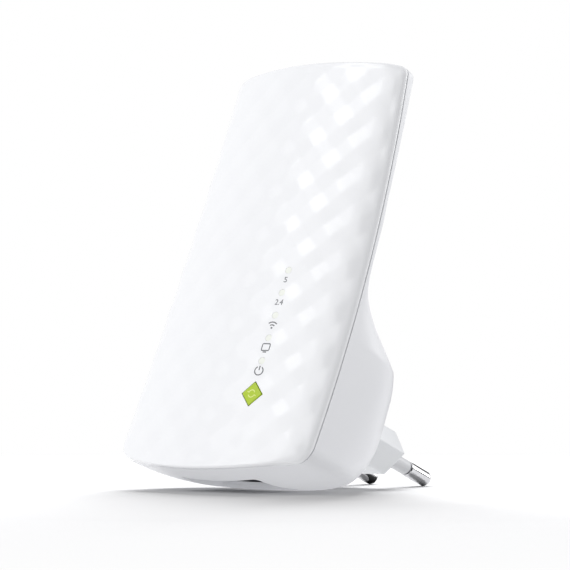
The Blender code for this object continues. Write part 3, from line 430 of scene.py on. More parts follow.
def standing():
    """How the frame stands: leaned back about X, with the cover's crown and foot as reference."""
    press = next(joint for joint in frame["joints"] if joint["name"] == "pair_button_press")
    lean = Matrix.Rotation(math.atan2(press["axis"][2], press["axis"][1]), 4, "X")
    upright = [lean.inverted() @ corner.co for corner in frame["nodes"]["front_cover"].data.vertices]
    crown = min(corner.y for corner in upright)
    foot = min(corner.z for corner in upright)
    return lean @ Matrix.Translation((0.0, crown, foot))


STAND = standing()


# Form of the casing, as the frame's solids have it

def corner_inset(distance, radius):
    """How far a rounded corner draws in at a distance from the edge."""
    reach = min(max(radius - distance, 0.0), radius)
    return radius - math.sqrt(radius ** 2 - reach ** 2)


def row_bow(form, height):
    """Rise of a row's ends above its middle: the foot edge sags and the top edge crowns."""
    foot = max(0.0, 1.0 - height / FOOT_BOW_FADE)
    top = max(0.0, 1.0 - (form.height - height) / TOP_BOW_FADE)
    return FOOT_BOW * foot ** 2 - TOP_BOW * top ** 2


def swell(form, height):
    """A share that is 1 halfway up the casing and 0 at its foot and top."""
    up = height / form.height
    return 4.0 * up * (1.0 - up)


def half_width(form, height):
    end = height + row_bow(form, height)
    side = (form.foot_width + (form.top_width - form.foot_width) * end / form.height) / 2.0
    side += form.side_swell * swell(form, end)
    foot = corner_inset(end - FOOT_BOW, FOOT_CORNER)
    top = corner_inset(form.height - TOP_BOW - end, TOP_CORNER)
    return side - foot - top


def face_bow(form, height):
    return form.face_bow + form.face_swell * swell(form, height)


def shoulder_turn(share):
    return max(0.0, (abs(share) - FACE_SHOULDER_START) / (1.0 - FACE_SHOULDER_START))


def face_share(share):
    """Depth share of the face: a shallow arc that turns down towards its side edges."""
    return (1.0 - FACE_SHOULDER) * share ** 2 + FACE_SHOULDER * shoulder_turn(share) ** 2


def face_slope(share):
    turn = FACE_SHOULDER * shoulder_turn(share) / (1.0 - FACE_SHOULDER_START)
    return 2.0 * (1.0 - FACE_SHOULDER) * share + math.copysign(2.0 * turn, share)


def seam_depth(form, height, share=1.0):
    """Depth of the seam, which follows the face's edge all round."""
    return face_bow(form, height) * face_share(share) + form.cover_edge


def arc_length(across, half, bow):
    """Length along the face from its middle, by Simpson's rule."""
    total = 0.0
    for k in range(ARC_STEPS + 1):
        weight = 1.0 if k in (0, ARC_STEPS) else 2.0 + 2.0 * (k % 2)
        slope = bow / half * face_slope(across / half * k / ARC_STEPS)
        total += weight * math.sqrt(1.0 + slope ** 2)
    return across / ARC_STEPS * total / 3.0


def ridge(way, quilt):
    """A wave of flat slopes between -1 and 1, with its turns slightly rounded."""
    wave = math.sin(2.0 * math.pi * way / (quilt.pitch * math.sqrt(2.0)))
    return math.asin(quilt.crispness * wave) / math.asin(quilt.crispness)


def quilt_rise(scene, arc, height):
    """Height of the quilted relief at an arc length and a height: the button fills one facet."""
    form = scene.extender_casing
    quilt = scene.extender_quilt
    controls = scene.extender_controls
    level = controls.button_height
    across = arc - arc_length(controls.column, half_width(form, level), face_bow(form, level))
    up = height - level
    rising = ridge((across + up) / math.sqrt(2.0), quilt)
    falling = ridge((across - up) / math.sqrt(2.0), quilt)
    return quilt.relief / 4.0 * (rising + falling)


def face_depth(scene, across, height):
    """Depth of the quilted face, away from its edges."""
    form = scene.extender_casing
    half = half_width(form, height)
    bow = face_bow(form, height)
    return bow * face_share(across / half) - quilt_rise(scene, arc_length(across, half, bow), height)


def edge_places(length, step, edge):
    """Places along a length: close together over the rounded edges, then a step apart."""
    ends = [edge * (1.0 - math.cos(math.pi / 2.0 * k / EDGE_STEPS)) for k in range(EDGE_STEPS + 1)]
    count = math.ceil((length - 2.0 * edge) / step)
    middle = [edge + (length - 2.0 * edge) * k / count for k in range(1, count)]
    return ends + middle + [length - place for place in ends[::-1]]


def cover_grid(form, depth_at):
    """Rows of points over the cover's outline, with their depth by a function."""
    columns = [2.0 * place / form.foot_width - 1.0
               for place in edge_places(form.foot_width, FACE_STEP, form.face_edge)]
    grid = []
    for row in edge_places(form.height, FACE_STEP, form.face_edge):
        half = half_width(form, row)
        line = []
        for share in columns:
            height = row + row_bow(form, row) * share ** 2
            line.append((half * share, depth_at(row, share, height), height))
        grid.append(line)
    return grid


def rear_corners(form):
    """Side outline behind the seam: top edge, slab, shoulder, rear face, heel and underside."""
    slab_foot = seam_depth(form, form.shoulder_top) + SLAB_FOOT_DEPTH
    shoulder_drop = (form.pod_depth - slab_foot) * math.tan(form.shoulder_angle)
    return [
        (form.cover_edge, form.height),
        (seam_depth(form, form.height) + form.slab_depth, form.height),
        (slab_foot, form.shoulder_top),
        (form.pod_depth, form.shoulder_top - shoulder_drop),
        (form.pod_depth, form.heel_height),
        (form.belly_depth, form.belly_height),
        (form.cover_edge, 0.0),
    ]


def rear_path(form):
    """The side outline with its corners as arcs, and no step longer than PATH_STEP."""
    corners = [Vector(corner) for corner in rear_corners(form)]
    radii = (SLAB_ROUND, SHOULDER_HOLLOW, SHOULDER_ROUND, form.heel_round, BELLY_ROUND)
    points = [corners[0]]
    for before, corner, after, radius in zip(corners, corners[1:], corners[2:], radii):
        into = (corner - before).normalized()
        out = (after - corner).normalized()
        bend = into.angle_signed(out)
        reach = radius * math.tan(abs(bend) / 2.0)
        side = Vector((into.y, -into.x)) * math.copysign(1.0, bend)
        centre = corner - into * reach + side * radius
        steps = math.ceil(abs(bend) / PATH_TURN)
        for step in range(steps + 1):
            points.append(centre - Matrix.Rotation(-bend * step / steps, 2) @ side * radius)
    points.append(corners[-1])
    path = [points[0]]
    for start, end in zip(points, points[1:]):
        parts = max(1, math.ceil((end - start).length / PATH_STEP))
        path += [start.lerp(end, step / parts) for step in range(1, parts + 1)]
    return path


def inner_path(path, distance):
    """The same outline, moved inwards."""
    moved = []
    for k, point in enumerate(path):
        along = (path[min(k + 1, len(path) - 1)] - path[max(k - 1, 0)]).normalized()
        moved.append(point + Vector((along.y, -along.x)) * distance)
    return moved


def section_depth(form, share, height, rear):
    """Depth of a section whose middle lies at the given depth.

    In front of the sides' seam it straightens from the bowed edge of the face, and behind it stands
    a boxy slab, with the pod behind that.
    """
    seam = seam_depth(form, height)
    if rear < seam:
        edge = seam_depth(form, height, share)
        return edge + (seam - edge) * (rear - form.cover_edge) / (seam - form.cover_edge)
    up = min(max((height - form.shoulder_top) / (form.height - form.shoulder_top), 0.0), 1.0)
    slab = min(SLAB_FOOT_DEPTH + (form.slab_depth - SLAB_FOOT_DEPTH) * up, rear - seam)
    slab_share = max(0.0, 1.0 - abs(share) ** SLAB_POWER) ** (1.0 / SLAB_POWER)
    up = min(max((height - POD_TOP) / (form.shoulder_top - POD_TOP), 0.0), 1.0)
    power = POD_POWER + (SHOULDER_POWER - POD_POWER) * up
    taper = 1.0 / POD_POWER + (SHOULDER_TAPER - 1.0 / POD_POWER) * up
    pod_share = max(0.0, 1.0 - abs(share) ** power) ** taper
    return seam + slab * slab_share + (rear - seam - slab) * pod_share


def housing_grids(form, inset, lead):
    """Grids of the seam side and of the rear side of a housing form."""
    shares = []
    for k in range(SECTION_COLUMNS + 1):
        reach = -math.cos(math.pi * k / SECTION_COLUMNS)
        shares.append(math.copysign(abs(reach) ** (2.0 / POD_POWER), reach))
    outline = rear_path(form)
    near = []
    far = []
    for outer, point in zip(outline, inner_path(outline, inset)):
        half = half_width(form, outer.y) - inset
        rear = max(point.x, form.cover_edge)
        near_row = []
        far_row = []
        for share in shares:
            height = point.y + row_bow(form, outer.y) * share ** 2
            near_row.append((half * share, seam_depth(form, outer.y, share) - lead, height))
            far_row.append((half * share, section_depth(form, share, outer.y, rear), height))
        near.append(near_row)
        far.append(far_row)
    return near, far


# Materials

def add(tree, kind, inputs=None, **settings):
    """A node with its settings, and its sockets set or linked."""
    made = tree.nodes.new(kind)
    for name, value in settings.items():
        setattr(made, name, value)
    for socket, value in (inputs or {}).items():
        if isinstance(value, bpy.types.NodeSocket):
            tree.links.new(value, made.inputs[socket])
        else:
            made.inputs[socket].default_value = value
    return made


def blank(name):
    """A new material's node tree, with only its Principled shader."""
    made = bpy.data.materials.new(name)
    made.use_nodes = True
    return made, made.node_tree, made.node_tree.nodes["Principled BSDF"]


def wire(tree, shader, **sources):
    """Link a shader's sockets, named with _ for each space."""
    for socket, source in sources.items():
        tree.links.new(source, shader.inputs[socket.replace("_", " ")])


def moulded(name, light, dark, roughness, grain, relief, ior=1.53, metallic=0.0, flow=9.0 * MM):
    """A moulded, plated or coated surface: slow flow clouds in its colour and gloss, and its fine grain."""
    made, tree, shader = blank(name)
    place = add(tree, "ShaderNodeTexCoord").outputs["Object"]
    clouds = add(tree, "ShaderNodeTexNoise", {"Vector": place, "Scale": 1.0 / flow, "Detail": 4.0})
    grains = add(tree, "ShaderNodeTexNoise", {"Vector": place, "Scale": 1.0 / grain, "Detail": 2.0})
    spread = clouds.outputs["Fac"]
    colour = add(tree, "ShaderNodeMix", {0: spread, MIX_A: dark, MIX_B: light}, data_type="RGBA")
    gloss = add(tree, "ShaderNodeMapRange",
                {"Value": spread, "To Min": roughness * 1.15, "To Max": roughness * 0.85})
    bump = add(tree, "ShaderNodeBump", {"Height": grains.outputs["Fac"], "Distance": relief})
    wire(tree, shader, Base_Color=colour.outputs[MIX_COLOUR], Roughness=gloss.outputs["Result"],
         Normal=bump.outputs["Normal"])
    shader.inputs["IOR"].default_value = ior
    shader.inputs["Metallic"].default_value = metallic
    return made


def shaded(colour, share):
    """A colour at a share of its light."""
    return [channel * share for channel in colour[:3]] + [1.0]


class FrontCover(bpy.types.Operator):
    """Model the bowed, quilted front cover with its button hole and light holes"""

    bl_idname = "extender.front_cover"
    bl_label = "Front Cover"

    def execute(self, context):
        scene = context.scene
        form = scene.extender_casing
        quilt = scene.extender_quilt
        controls = scene.extender_controls

        def front(row, share, height):
            half = half_width(form, row)
            bow = face_bow(form, row)
            edge = min(half * (1.0 - abs(share)), row, form.height - row)
            flat = bow * face_share(share) + corner_inset(edge, form.face_edge)
            plain = min(max((edge - form.face_edge) / quilt.fade, 0.0), 1.0)
            if plain > 0.0:
                arc = arc_length(half * share, half, bow)
                flat -= quilt_rise(scene, arc, height) * plain ** 2 * (3.0 - 2.0 * plain)
            return flat

        def rear(row, share, height):
            return seam_depth(form, row, share) - form.seam_gap

        cover = closed_form("front_cover_shell", cover_grid(form, front), cover_grid(form, rear))
        hole = diamond(controls, controls.button_half + controls.button_gap)
        carve(cover, prism("button_hole", hole, -OVERCUT, OVERCUT))
        for height in light_heights(scene):
            hole = [(-OVERCUT, controls.light_radius), (OVERCUT, controls.light_radius)]
            carve(cover, drawn_out("light_hole", hole, (controls.column, height)))
        finish = scene.extender_finish
        # Glossy moulded ABS: a clean cool white with a soft sheen and hardly any grain
        white = moulded("satin_white_abs_cover", finish.cover, shaded(finish.cover, 0.975),
                        roughness=0.17, grain=0.35 * MM, relief=0.0012 * MM)
        settle(cover, "casing", white, "satin_white_abs", "front_cover")
        return {"FINISHED"}


def diamond(controls, half):
    """A square on its corner, about the button's centre."""
    corners = [(half, 0.0), (0.0, half), (-half, 0.0), (0.0, -half)]
    return [(controls.column + across, controls.button_height + height) for across, height in corners]


def light_heights(scene):
    controls = scene.extender_controls
    return [controls.light_first + scene.extender_quilt.pitch * k for k in range(controls.light_count)]


# Openings and posts of the rear shell, in metres
PORT_LOW = Vector((-13.4, 10.6, -8.0)) * MM
PORT_HIGH = Vector((13.4, 26.2, 8.98)) * MM
PORT_CORNER = 1.2 * MM
PORT_SEGMENTS = 5
POST_X = 21.5 * MM
POST_HEIGHTS = (14.0 * MM, 50.0 * MM)
POST_RADIUS = 2.8 * MM
POST_FRONT = 12.8 * MM
SCREW_HOLE_RADIUS = 1.4 * MM
SCREW_HOLE_LENGTH = 5.0 * MM
PLUG_HOLE_FRONT = 30.0 * MM
FIT = 0.08 * MM


class RearHousing(bpy.types.Operator):
    """Model the rear shell: a thin slab above, a deep pod below, with its port and its screw posts"""

    bl_idname = "extender.rear_housing"
    bl_label = "Rear Housing"

    def execute(self, context):
        scene = context.scene
        form = scene.extender_casing
        plug = scene.extender_plug
        housing = closed_form("rear_housing_shell", *housing_grids(form, 0.0, 0.0))
        cavity = closed_form("housing_cavity", *housing_grids(form, form.wall, OVERCUT))
        places = [(side * POST_X, height) for height in POST_HEIGHTS for side in (-1.0, 1.0)]
        for place in places:
            post = [(POST_FRONT, POST_RADIUS), (plug.face_depth, POST_RADIUS)]
            carve(cavity, drawn_out("post", post, place))
        carve(housing, cavity)
        for place in places:
            hole = [(POST_FRONT - OVERCUT, SCREW_HOLE_RADIUS),
                    (POST_FRONT + SCREW_HOLE_LENGTH, SCREW_HOLE_RADIUS)]
            carve(housing, drawn_out("post_hole", hole, place))
        carve(housing, prism("plug_hole", plug_outline(plug, FIT), PLUG_HOLE_FRONT, plug.face_depth))
        port = block("port_hole", PORT_LOW, PORT_HIGH)
        carve(housing, rounded(port, "EDGE", None, PORT_CORNER, PORT_SEGMENTS))
        finish = scene.extender_finish
        # Moulded ABS, a shade greyer than the cover, with a fine spark-eroded matt
        white = moulded("housing_white_abs_shell", finish.housing, shaded(finish.housing, 0.97),
                        roughness=0.36, grain=0.30 * MM, relief=0.0025 * MM)
        settle(housing, "casing", white, "housing_white_abs", "rear_housing")
        return {"FINISHED"}


def plug_outline(plug, grow):
    """The plug's flat six-sided outline, made larger all round by a distance."""
    half = plug.width / 2.0
    flat = plug.flat_width / 2.0
    rise = plug.height / 2.0
    slope = math.atan2(rise, half - flat)
    point = half + grow / math.sin(slope)
    shoulder = flat + grow * math.tan(slope / 2.0)
    upper = [(point, 0.0), (shoulder, rise + grow), (-shoulder, rise + grow)]
    lower = [(-across, -height) for across, height in upper]
    return [(across, plug.axis_height + height) for across, height in upper + lower]


# Details of the plug, in metres
FLANGE_RIM = 1.8 * MM
FLANGE_THICKNESS = 1.8 * MM
PLUG_SEGMENTS = 4
STRAIGHT_SHARE = 0.9
SLEEVE_SEAT = 9.0 * MM
SLEEVE_END_ROUND = 0.25 * MM
PIN_CORE_RADIUS = 1.3 * MM
PIN_ROOT_GAP = 0.50 * MM
PIN_ROOT_CHAMFER = 0.2 * MM
PIN_TIP_ROUND = 0.9 * MM
TIP_STEPS = 8


class MainsPlug(bpy.types.Operator):
    """Model the flat plug, its two pins and their insulating sleeves"""

    bl_idname = "extender.mains_plug"
    bl_label = "Mains Plug"

    def execute(self, context):
        scene = context.scene
        plug = scene.extender_plug
        finish = scene.extender_finish
        flange_back = plug_flange_back()
        start = flange_back - FLANGE_THICKNESS / 2.0
        body = prism("plug_shell", plug_outline(plug, 0.0), start, plug.face_depth)
        rim = plug.face_depth - WELD
        rounded(body, "EDGE", lambda edge: runs_deep(body, edge) or reaches(body, edge, rim), plug.edge,
                PLUG_SEGMENTS)
        start = flange_back - FLANGE_THICKNESS
        flange = prism("plug_flange", plug_outline(plug, FLANGE_RIM), start, flange_back)
        carve(body, flange, "UNION")
        sides = {"left": -plug.pin_spacing / 2.0, "right": plug.pin_spacing / 2.0}
        bore_radius = plug.sleeve_radius + FIT
        for across in sides.values():
            bore = [(flange_back - OVERCUT, bore_radius), (plug.face_depth + OVERCUT, bore_radius)]
            carve(body, drawn_out("plug_bore", bore, (across, plug.axis_height)))
        # Moulded ABS with the matt of a spark-eroded tool
        white = moulded("plug_white_abs_body", finish.plug, shaded(finish.plug, 0.97),
                        roughness=0.42, grain=0.28 * MM, relief=0.004 * MM)
        settle(body, "casing", white, "plug_white_abs", "plug_body")
        # Soft PVC, slightly greyer and duller than the plug
        sleeve_white = moulded("sleeve_pvc_soft", linear("#DADBDE"), linear("#D2D3D7"),
                               roughness=0.45, grain=0.22 * MM, relief=0.003 * MM)
        nickel = plated("nickel_plated_brass_pin")
        for side, across in sides.items():
            centre = (across, plug.axis_height)
            sleeve = drawn_out("pin_sleeve_shell_" + side, sleeve_stations(plug), centre)
            core = [(plug.face_depth - SLEEVE_SEAT - OVERCUT, PIN_CORE_RADIUS + FIT),
                    (plug.face_depth + plug.pin_length, PIN_CORE_RADIUS + FIT)]
            carve(sleeve, drawn_out("sleeve_bore", core, centre))
            settle(sleeve, "casing", sleeve_white, "sleeve_pvc", "pin_sleeve_" + side)
            pin = drawn_out("pin_metal_" + side, pin_stations(plug, flange_back), centre)
            settle(pin, "casing", nickel, "nickel_plated_brass", "pin_" + side)
        return {"FINISHED"}


def plug_flange_back():
    """Depth of the flange's rear face in the frame's plug: its widest points' deepest end."""
    upright = [STAND.inverted() @ corner.co for corner in frame["nodes"]["plug_body"].data.vertices]
    widest = max(corner.x for corner in upright)
    return max(corner.y for corner in upright if corner.x > widest - FIT)


def runs_deep(item, edge):
    """Whether an edge runs along the depth."""
    start, end = (item.data.vertices[k].co for k in edge.vertices)
    return abs(end.y - start.y) > STRAIGHT_SHARE * (end - start).length


def reaches(item, edge, depth):
    """Whether both ends of an edge lie past a depth."""
    return all(item.data.vertices[k].co.y > depth for k in edge.vertices)


def sleeve_stations(plug):
    """Sleeve from inside the plug to just before the bare pin, with a rounded end."""
    end = plug.face_depth + plug.pin_length - plug.bare_length - PIN_ROOT_GAP
    stations = [(plug.face_depth - SLEEVE_SEAT, plug.sleeve_radius)]
    for k in range(TIP_STEPS + 1):
        turn = math.pi / 2.0 * k / TIP_STEPS
        radius = plug.sleeve_radius - SLEEVE_END_ROUND * (1.0 - math.cos(turn))
        stations.append((end - SLEEVE_END_ROUND * (1.0 - math.sin(turn)), radius))
    return stations


def pin_stations(plug, start):
    """Pin from inside the plug: a thin core, a chamfered root, the bare end and its rounded tip."""
    tip = plug.face_depth + plug.pin_length
    bare = tip - plug.bare_length
    stations = [
        (start, PIN_CORE_RADIUS),
        (bare, PIN_CORE_RADIUS),
        (bare, plug.pin_radius - PIN_ROOT_CHAMFER),
        (bare + PIN_ROOT_CHAMFER, plug.pin_radius),
    ]
    for k in range(TIP_STEPS + 1):
        turn = math.pi / 2.0 * k / TIP_STEPS
        radius = plug.pin_radius - PIN_TIP_ROUND * (1.0 - math.cos(turn))
        stations.append((tip - PIN_TIP_ROUND * (1.0 - math.sin(turn)), radius))
    return stations


def plated(name):
    """Polished nickel on a turned brass pin: bright, with faint rings left by the lathe."""
    made, tree, shader = blank(name)
    place = add(tree, "ShaderNodeTexCoord").outputs["Object"]
    upright = add(tree, "ShaderNodeMapping", {"Vector": place, "Rotation": STAND.inverted().to_euler()})
    # The lathe's feed is finer than the render shows, so its rings are drawn 0.35 mm apart
    rings = add(tree, "ShaderNodeTexWave", {"Vector": upright.outputs["Vector"], "Scale": 0.3 / (0.35 * MM),
                                            "Distortion": 1.5, "Detail": 2.0}, bands_direction="Y")
    stain = add(tree, "ShaderNodeTexNoise", {"Vector": place, "Scale": 1.0 / (2.5 * MM), "Detail": 4.0})
    colour = add(tree, "ShaderNodeMix", {0: stain.outputs["Fac"], MIX_A: linear("#C6C6C8"),
                                         MIX_B: linear("#E2E2E4")}, data_type="RGBA")
    gloss = add(tree, "ShaderNodeMapRange", {"Value": stain.outputs["Fac"], "To Min": 0.07, "To Max": 0.16})
    bump = add(tree, "ShaderNodeBump", {"Height": rings.outputs["Fac"], "Distance": 0.001 * MM})
    wire(tree, shader, Base_Color=colour.outputs[MIX_COLOUR], Roughness=gloss.outputs["Result"],
         Normal=bump.outputs["Normal"])
    shader.inputs["Metallic"].default_value = 1.0
    return made


# Details of the button, in metres
BUTTON_CORNER = 0.35 * MM
BUTTON_EDGE = 0.22 * MM
BUTTON_RINGS = (0.25, 0.5, 0.75)
CORNER_STEPS = 6
BUTTON_STEM_RADIUS = 1.5 * MM


class PairButton(bpy.types.Operator):
    """Model the diamond pair button, flush with its facet, and its pale mark"""

    bl_idname = "extender.pair_button"
    bl_label = "Pair Button"

    def execute(self, context):
        scene = context.scene
        controls = scene.extender_controls
        finish = scene.extender_finish
        low, high = upright_box("pair_button")
        flange_front, flange_rear = flange_depths(high.x)
        centre = (controls.column, controls.button_height)
        half = controls.button_half
        stations = [(low.y, half * ring) for ring in BUTTON_RINGS]
        for k in range(EDGE_STEPS + 1):
            turn = math.pi / 2.0 * k / EDGE_STEPS
            size = half - BUTTON_EDGE * math.sqrt(2.0) * (1.0 - math.sin(turn))
            stations.append((low.y + BUTTON_EDGE * (1.0 - math.cos(turn)), size))
        reach = high.x - controls.column
        stations += [(flange_front, half), (flange_front, reach), (flange_rear, reach)]
        cap = drawn_out("pair_button_cap", stations, centre, soft_diamond(BUTTON_CORNER / half))
        for corner in cap.data.vertices:
            if corner.co.y < low.y + BUTTON_EDGE + WELD:
                corner.co.y += face_depth(scene, corner.co.x, corner.co.z) - controls.button_proud - low.y
        stem = [(flange_front + FIT, BUTTON_STEM_RADIUS), (high.y, BUTTON_STEM_RADIUS)]
        carve(cap, drawn_out("button_stem", stem, centre), "UNION")
        # Bright moulded ABS, dyed through: yellow-green with a soft gloss
        green = moulded("green_abs_cap", finish.button, shaded(finish.button, 0.90),
                        roughness=0.33, grain=0.30 * MM, relief=0.002 * MM)
        settle(cap, "pair_button_body", green, "green_abs", "pair_button")
        # Pale pad print, a lighter tint of the button
        tint = moulded("pale_green_print", linear("#E4EE94"), linear("#D6E27C"),
                       roughness=0.45, grain=0.2 * MM, relief=0.002 * MM)
        arrows = join_strokes("pair_mark", [pair_arrow(turn) for turn in (0.0, math.pi)], controls.stroke)
        lay_on_face(scene, arrows, centre, controls.button_proud + controls.ink, controls.ink)
        settle(arrows, "pair_button_body", tint, "green_abs")
        return {"FINISHED"}


def upright_box(node):
    """Lowest and highest corner of a frame's node, upright."""
    upright = [STAND.inverted() @ corner.co for corner in frame["nodes"][node].data.vertices]
    low = Vector([min(corner[k] for corner in upright) for k in range(3)])
    high = Vector([max(corner[k] for corner in upright) for k in range(3)])
    return low, high


def flange_depths(reach):
    """Front and rear of the flange of the frame's button: where it reaches furthest."""
    upright = [STAND.inverted() @ corner.co for corner in frame["nodes"]["pair_button"].data.vertices]
    depths = [corner.y for corner in upright if corner.x > reach - FIT]
    return min(depths), max(depths)


def soft_diamond(corner):
    """A square on its corner, with a half diagonal of 1 and rounded corners."""
    points = []
    for quarter in range(4):
        middle = math.pi / 2.0 * quarter
        for k in range(CORNER_STEPS + 1):
            turn = middle + math.pi / 2.0 * (k / CORNER_STEPS - 0.5)
            reach = 1.0 - corner * math.sqrt(2.0)
            points.append((reach * math.cos(middle) + corner * math.cos(turn),
                           reach * math.sin(middle) + corner * math.sin(turn)))
    return points


# Print

def arc_points(radius, start, end, centre=(0.0, 0.0), count=24):
    """Points along an arc, in millimetres and degrees from the right."""
    points = []
    for k in range(count + 1):
        turn = math.radians(start + (end - start) * k / count)
        points.append((centre[0] + radius * math.cos(turn), centre[1] + radius * math.sin(turn)))
    return points


def pair_arrow(turn):
    """Half a ring with an arrow head, turned about the middle, as two lines."""
    ring = arc_points(0.95, 20.0, 160.0)
    head = [(-1.45, 0.55), (-0.90, 0.30), (-0.62, 0.86)]
    swing = Matrix.Rotation(turn, 2)
    return [[tuple(swing @ Vector(point)) for point in line] for line in (ring, head)]


def join_strokes(name, groups, width):
    """Round lines of one width through points in millimetres, as one mesh."""
    curve = bpy.data.curves.new(name, "CURVE")
    curve.dimensions = "3D"
    curve.bevel_depth = width / 2.0
    curve.bevel_resolution = 3
    curve.use_fill_caps = True
    for line in [line for group in groups for line in group]:
        closed = len(line) > 2 and line[0] == line[-1]
        points = line[:-1] if closed else line
        spline = curve.splines.new("POLY")
        spline.points.add(len(points) - 1)
        for point, (across, height) in zip(spline.points, points):
            point.co = (across * MM, 0.0, height * MM, 1.0)
        spline.use_cyclic_u = closed
    item = bpy.data.objects.new(name, curve)
    bpy.context.scene.collection.objects.link(item)
    activate(item)
    bpy.ops.object.convert(target="MESH")
    item = bpy.context.active_object
    with editing(item):
        bpy.ops.mesh.remove_doubles(threshold=WELD)
        bpy.ops.mesh.normals_make_consistent(inside=False)
    return item


def lay_on_face(scene, item, centre, lift, thickness):
    """Flatten a mark to the print's thickness and lay it on the face about a centre."""
    across, height = centre
    deepest = max(abs(corner.co.y) for corner in item.data.vertices)
    for corner in item.data.vertices:
        x = across + corner.co.x
        z = height + corner.co.z
        y = corner.co.y / deepest * thickness
        corner.co = (x, face_depth(scene, x, z) - lift + y + thickness / 2.0, z)


# Icons as lines in millimetres about their centres
POWER_ICON = [arc_points(1.12, 122.0, 418.0), [(0.0, 0.15), (0.0, 1.30)]]
SCREEN_ICON = [
    arc_points(0.35, 180.0, 270.0, (-0.85, -0.35), 6) + arc_points(0.35, 270.0, 360.0, (0.85, -0.35), 6)
    + arc_points(0.35, 0.0, 90.0, (0.85, 0.75), 6) + arc_points(0.35, 90.0, 180.0, (-0.85, 0.75), 6)
    + [(-1.20, -0.35)],
    [(-0.55, -1.10), (0.55, -1.10)],
]
WAVES_ICON = [arc_points(0.80, 45.0, 135.0, (0.0, -0.75)), arc_points(1.55, 45.0, 135.0, (0.0, -0.75)),
              arc_points(0.12, 0.0, 360.0, (0.0, -0.75), 10)]
ICONS = {"power": POWER_ICON, "screen": SCREEN_ICON, "waves": WAVES_ICON}
NUMBERS = ("2.4", "5")
NUMBER_SIZE = 2.1 * MM


class FacePrint(bpy.types.Operator):
    """Print the icons and the plain numbers beside the status lights"""

    bl_idname = "extender.face_print"
    bl_label = "Face Print"

    def execute(self, context):
        scene = context.scene
        controls = scene.extender_controls
        finish = scene.extender_finish
        # Pad-printed ink: a flat warm grey, a little thin in places
        ink = moulded("grey_pad_print", finish.ink, shaded(finish.ink, 0.8),
                      roughness=0.5, grain=0.15 * MM, relief=0.002 * MM)
        height = controls.button_height
        for name, lines in ICONS.items():
            height += scene.extender_quilt.pitch
            icon = join_strokes("icon_" + name, [lines], controls.stroke)
            lay_on_face(scene, icon, (controls.column, height), controls.ink, controls.ink)
            settle(icon, "casing", ink, "satin_white_abs")
        for k, text in enumerate(NUMBERS):
            height += scene.extender_quilt.pitch
            bpy.ops.object.select_all(action="DESELECT")
            bpy.ops.object.text_add()
            number = bpy.context.active_object
            number.name = "number_%d" % (k + 1)
            number.data.body = text
            number.data.size = NUMBER_SIZE
            number.data.align_x = "CENTER"
            number.data.align_y = "CENTER"
            number.data.extrude = controls.ink
            bpy.ops.object.convert(target="MESH")
            number = bpy.context.active_object
            number.data.transform(Matrix.Rotation(math.pi / 2.0, 4, "X"))
            with editing(number):
                bpy.ops.mesh.remove_doubles(threshold=WELD)
            lay_on_face(scene, number, (controls.column, height), controls.ink, controls.ink)
            settle(number, "casing", ink, "satin_white_abs")
        return {"FINISHED"}


# Details of the light guide, in metres
GUIDE_THICKNESS = 1.5 * MM
GUIDE_EDGE = 0.3 * MM
GUIDE_SEGMENTS = 3
PIPE_RINGS = (0.25, 0.55, 0.8, 1.0)
LIGHT_SINK = 0.03 * MM


class StatusLights(bpy.types.Operator):
    """Model the light guide whose five pipes end flush in the face"""

    bl_idname = "extender.status_lights"
    bl_label = "Status Lights"

    def execute(self, context):
        scene = context.scene
        controls = scene.extender_controls
        low, high = upright_box("light_guide")
        bar_front = high.y - GUIDE_THICKNESS
        guide = block("light_guide_bar", (low.x, bar_front, low.z), high)
        rounded(guide, "EDGE", None, GUIDE_EDGE, GUIDE_SEGMENTS)
        radius = controls.light_radius - FIT / 2.0
        for height in light_heights(scene):
            tip = face_depth(scene, controls.column, height)
            stations = [(tip, ring * radius) for ring in PIPE_RINGS]
            stations.append((bar_front + GUIDE_EDGE, radius))
            pipe = drawn_out("light_pipe", stations, (controls.column, height))
            for corner in pipe.data.vertices:
                if corner.co.y < tip + WELD:
                    corner.co.y = face_depth(scene, corner.co.x, corner.co.z) + LIGHT_SINK
            carve(guide, pipe, "UNION")
        # Frosted acrylic: milky and faintly green, with light soaking into it
        frosted = moulded("frosted_acrylic_guide", linear("#F2F4EE"), linear("#EDF0E8"),
                          roughness=0.30, grain=0.20 * MM, relief=0.002 * MM, ior=1.49)
        settle(guide, "casing", frosted, "frosted_acrylic", "light_guide")
        return {"FINISHED"}


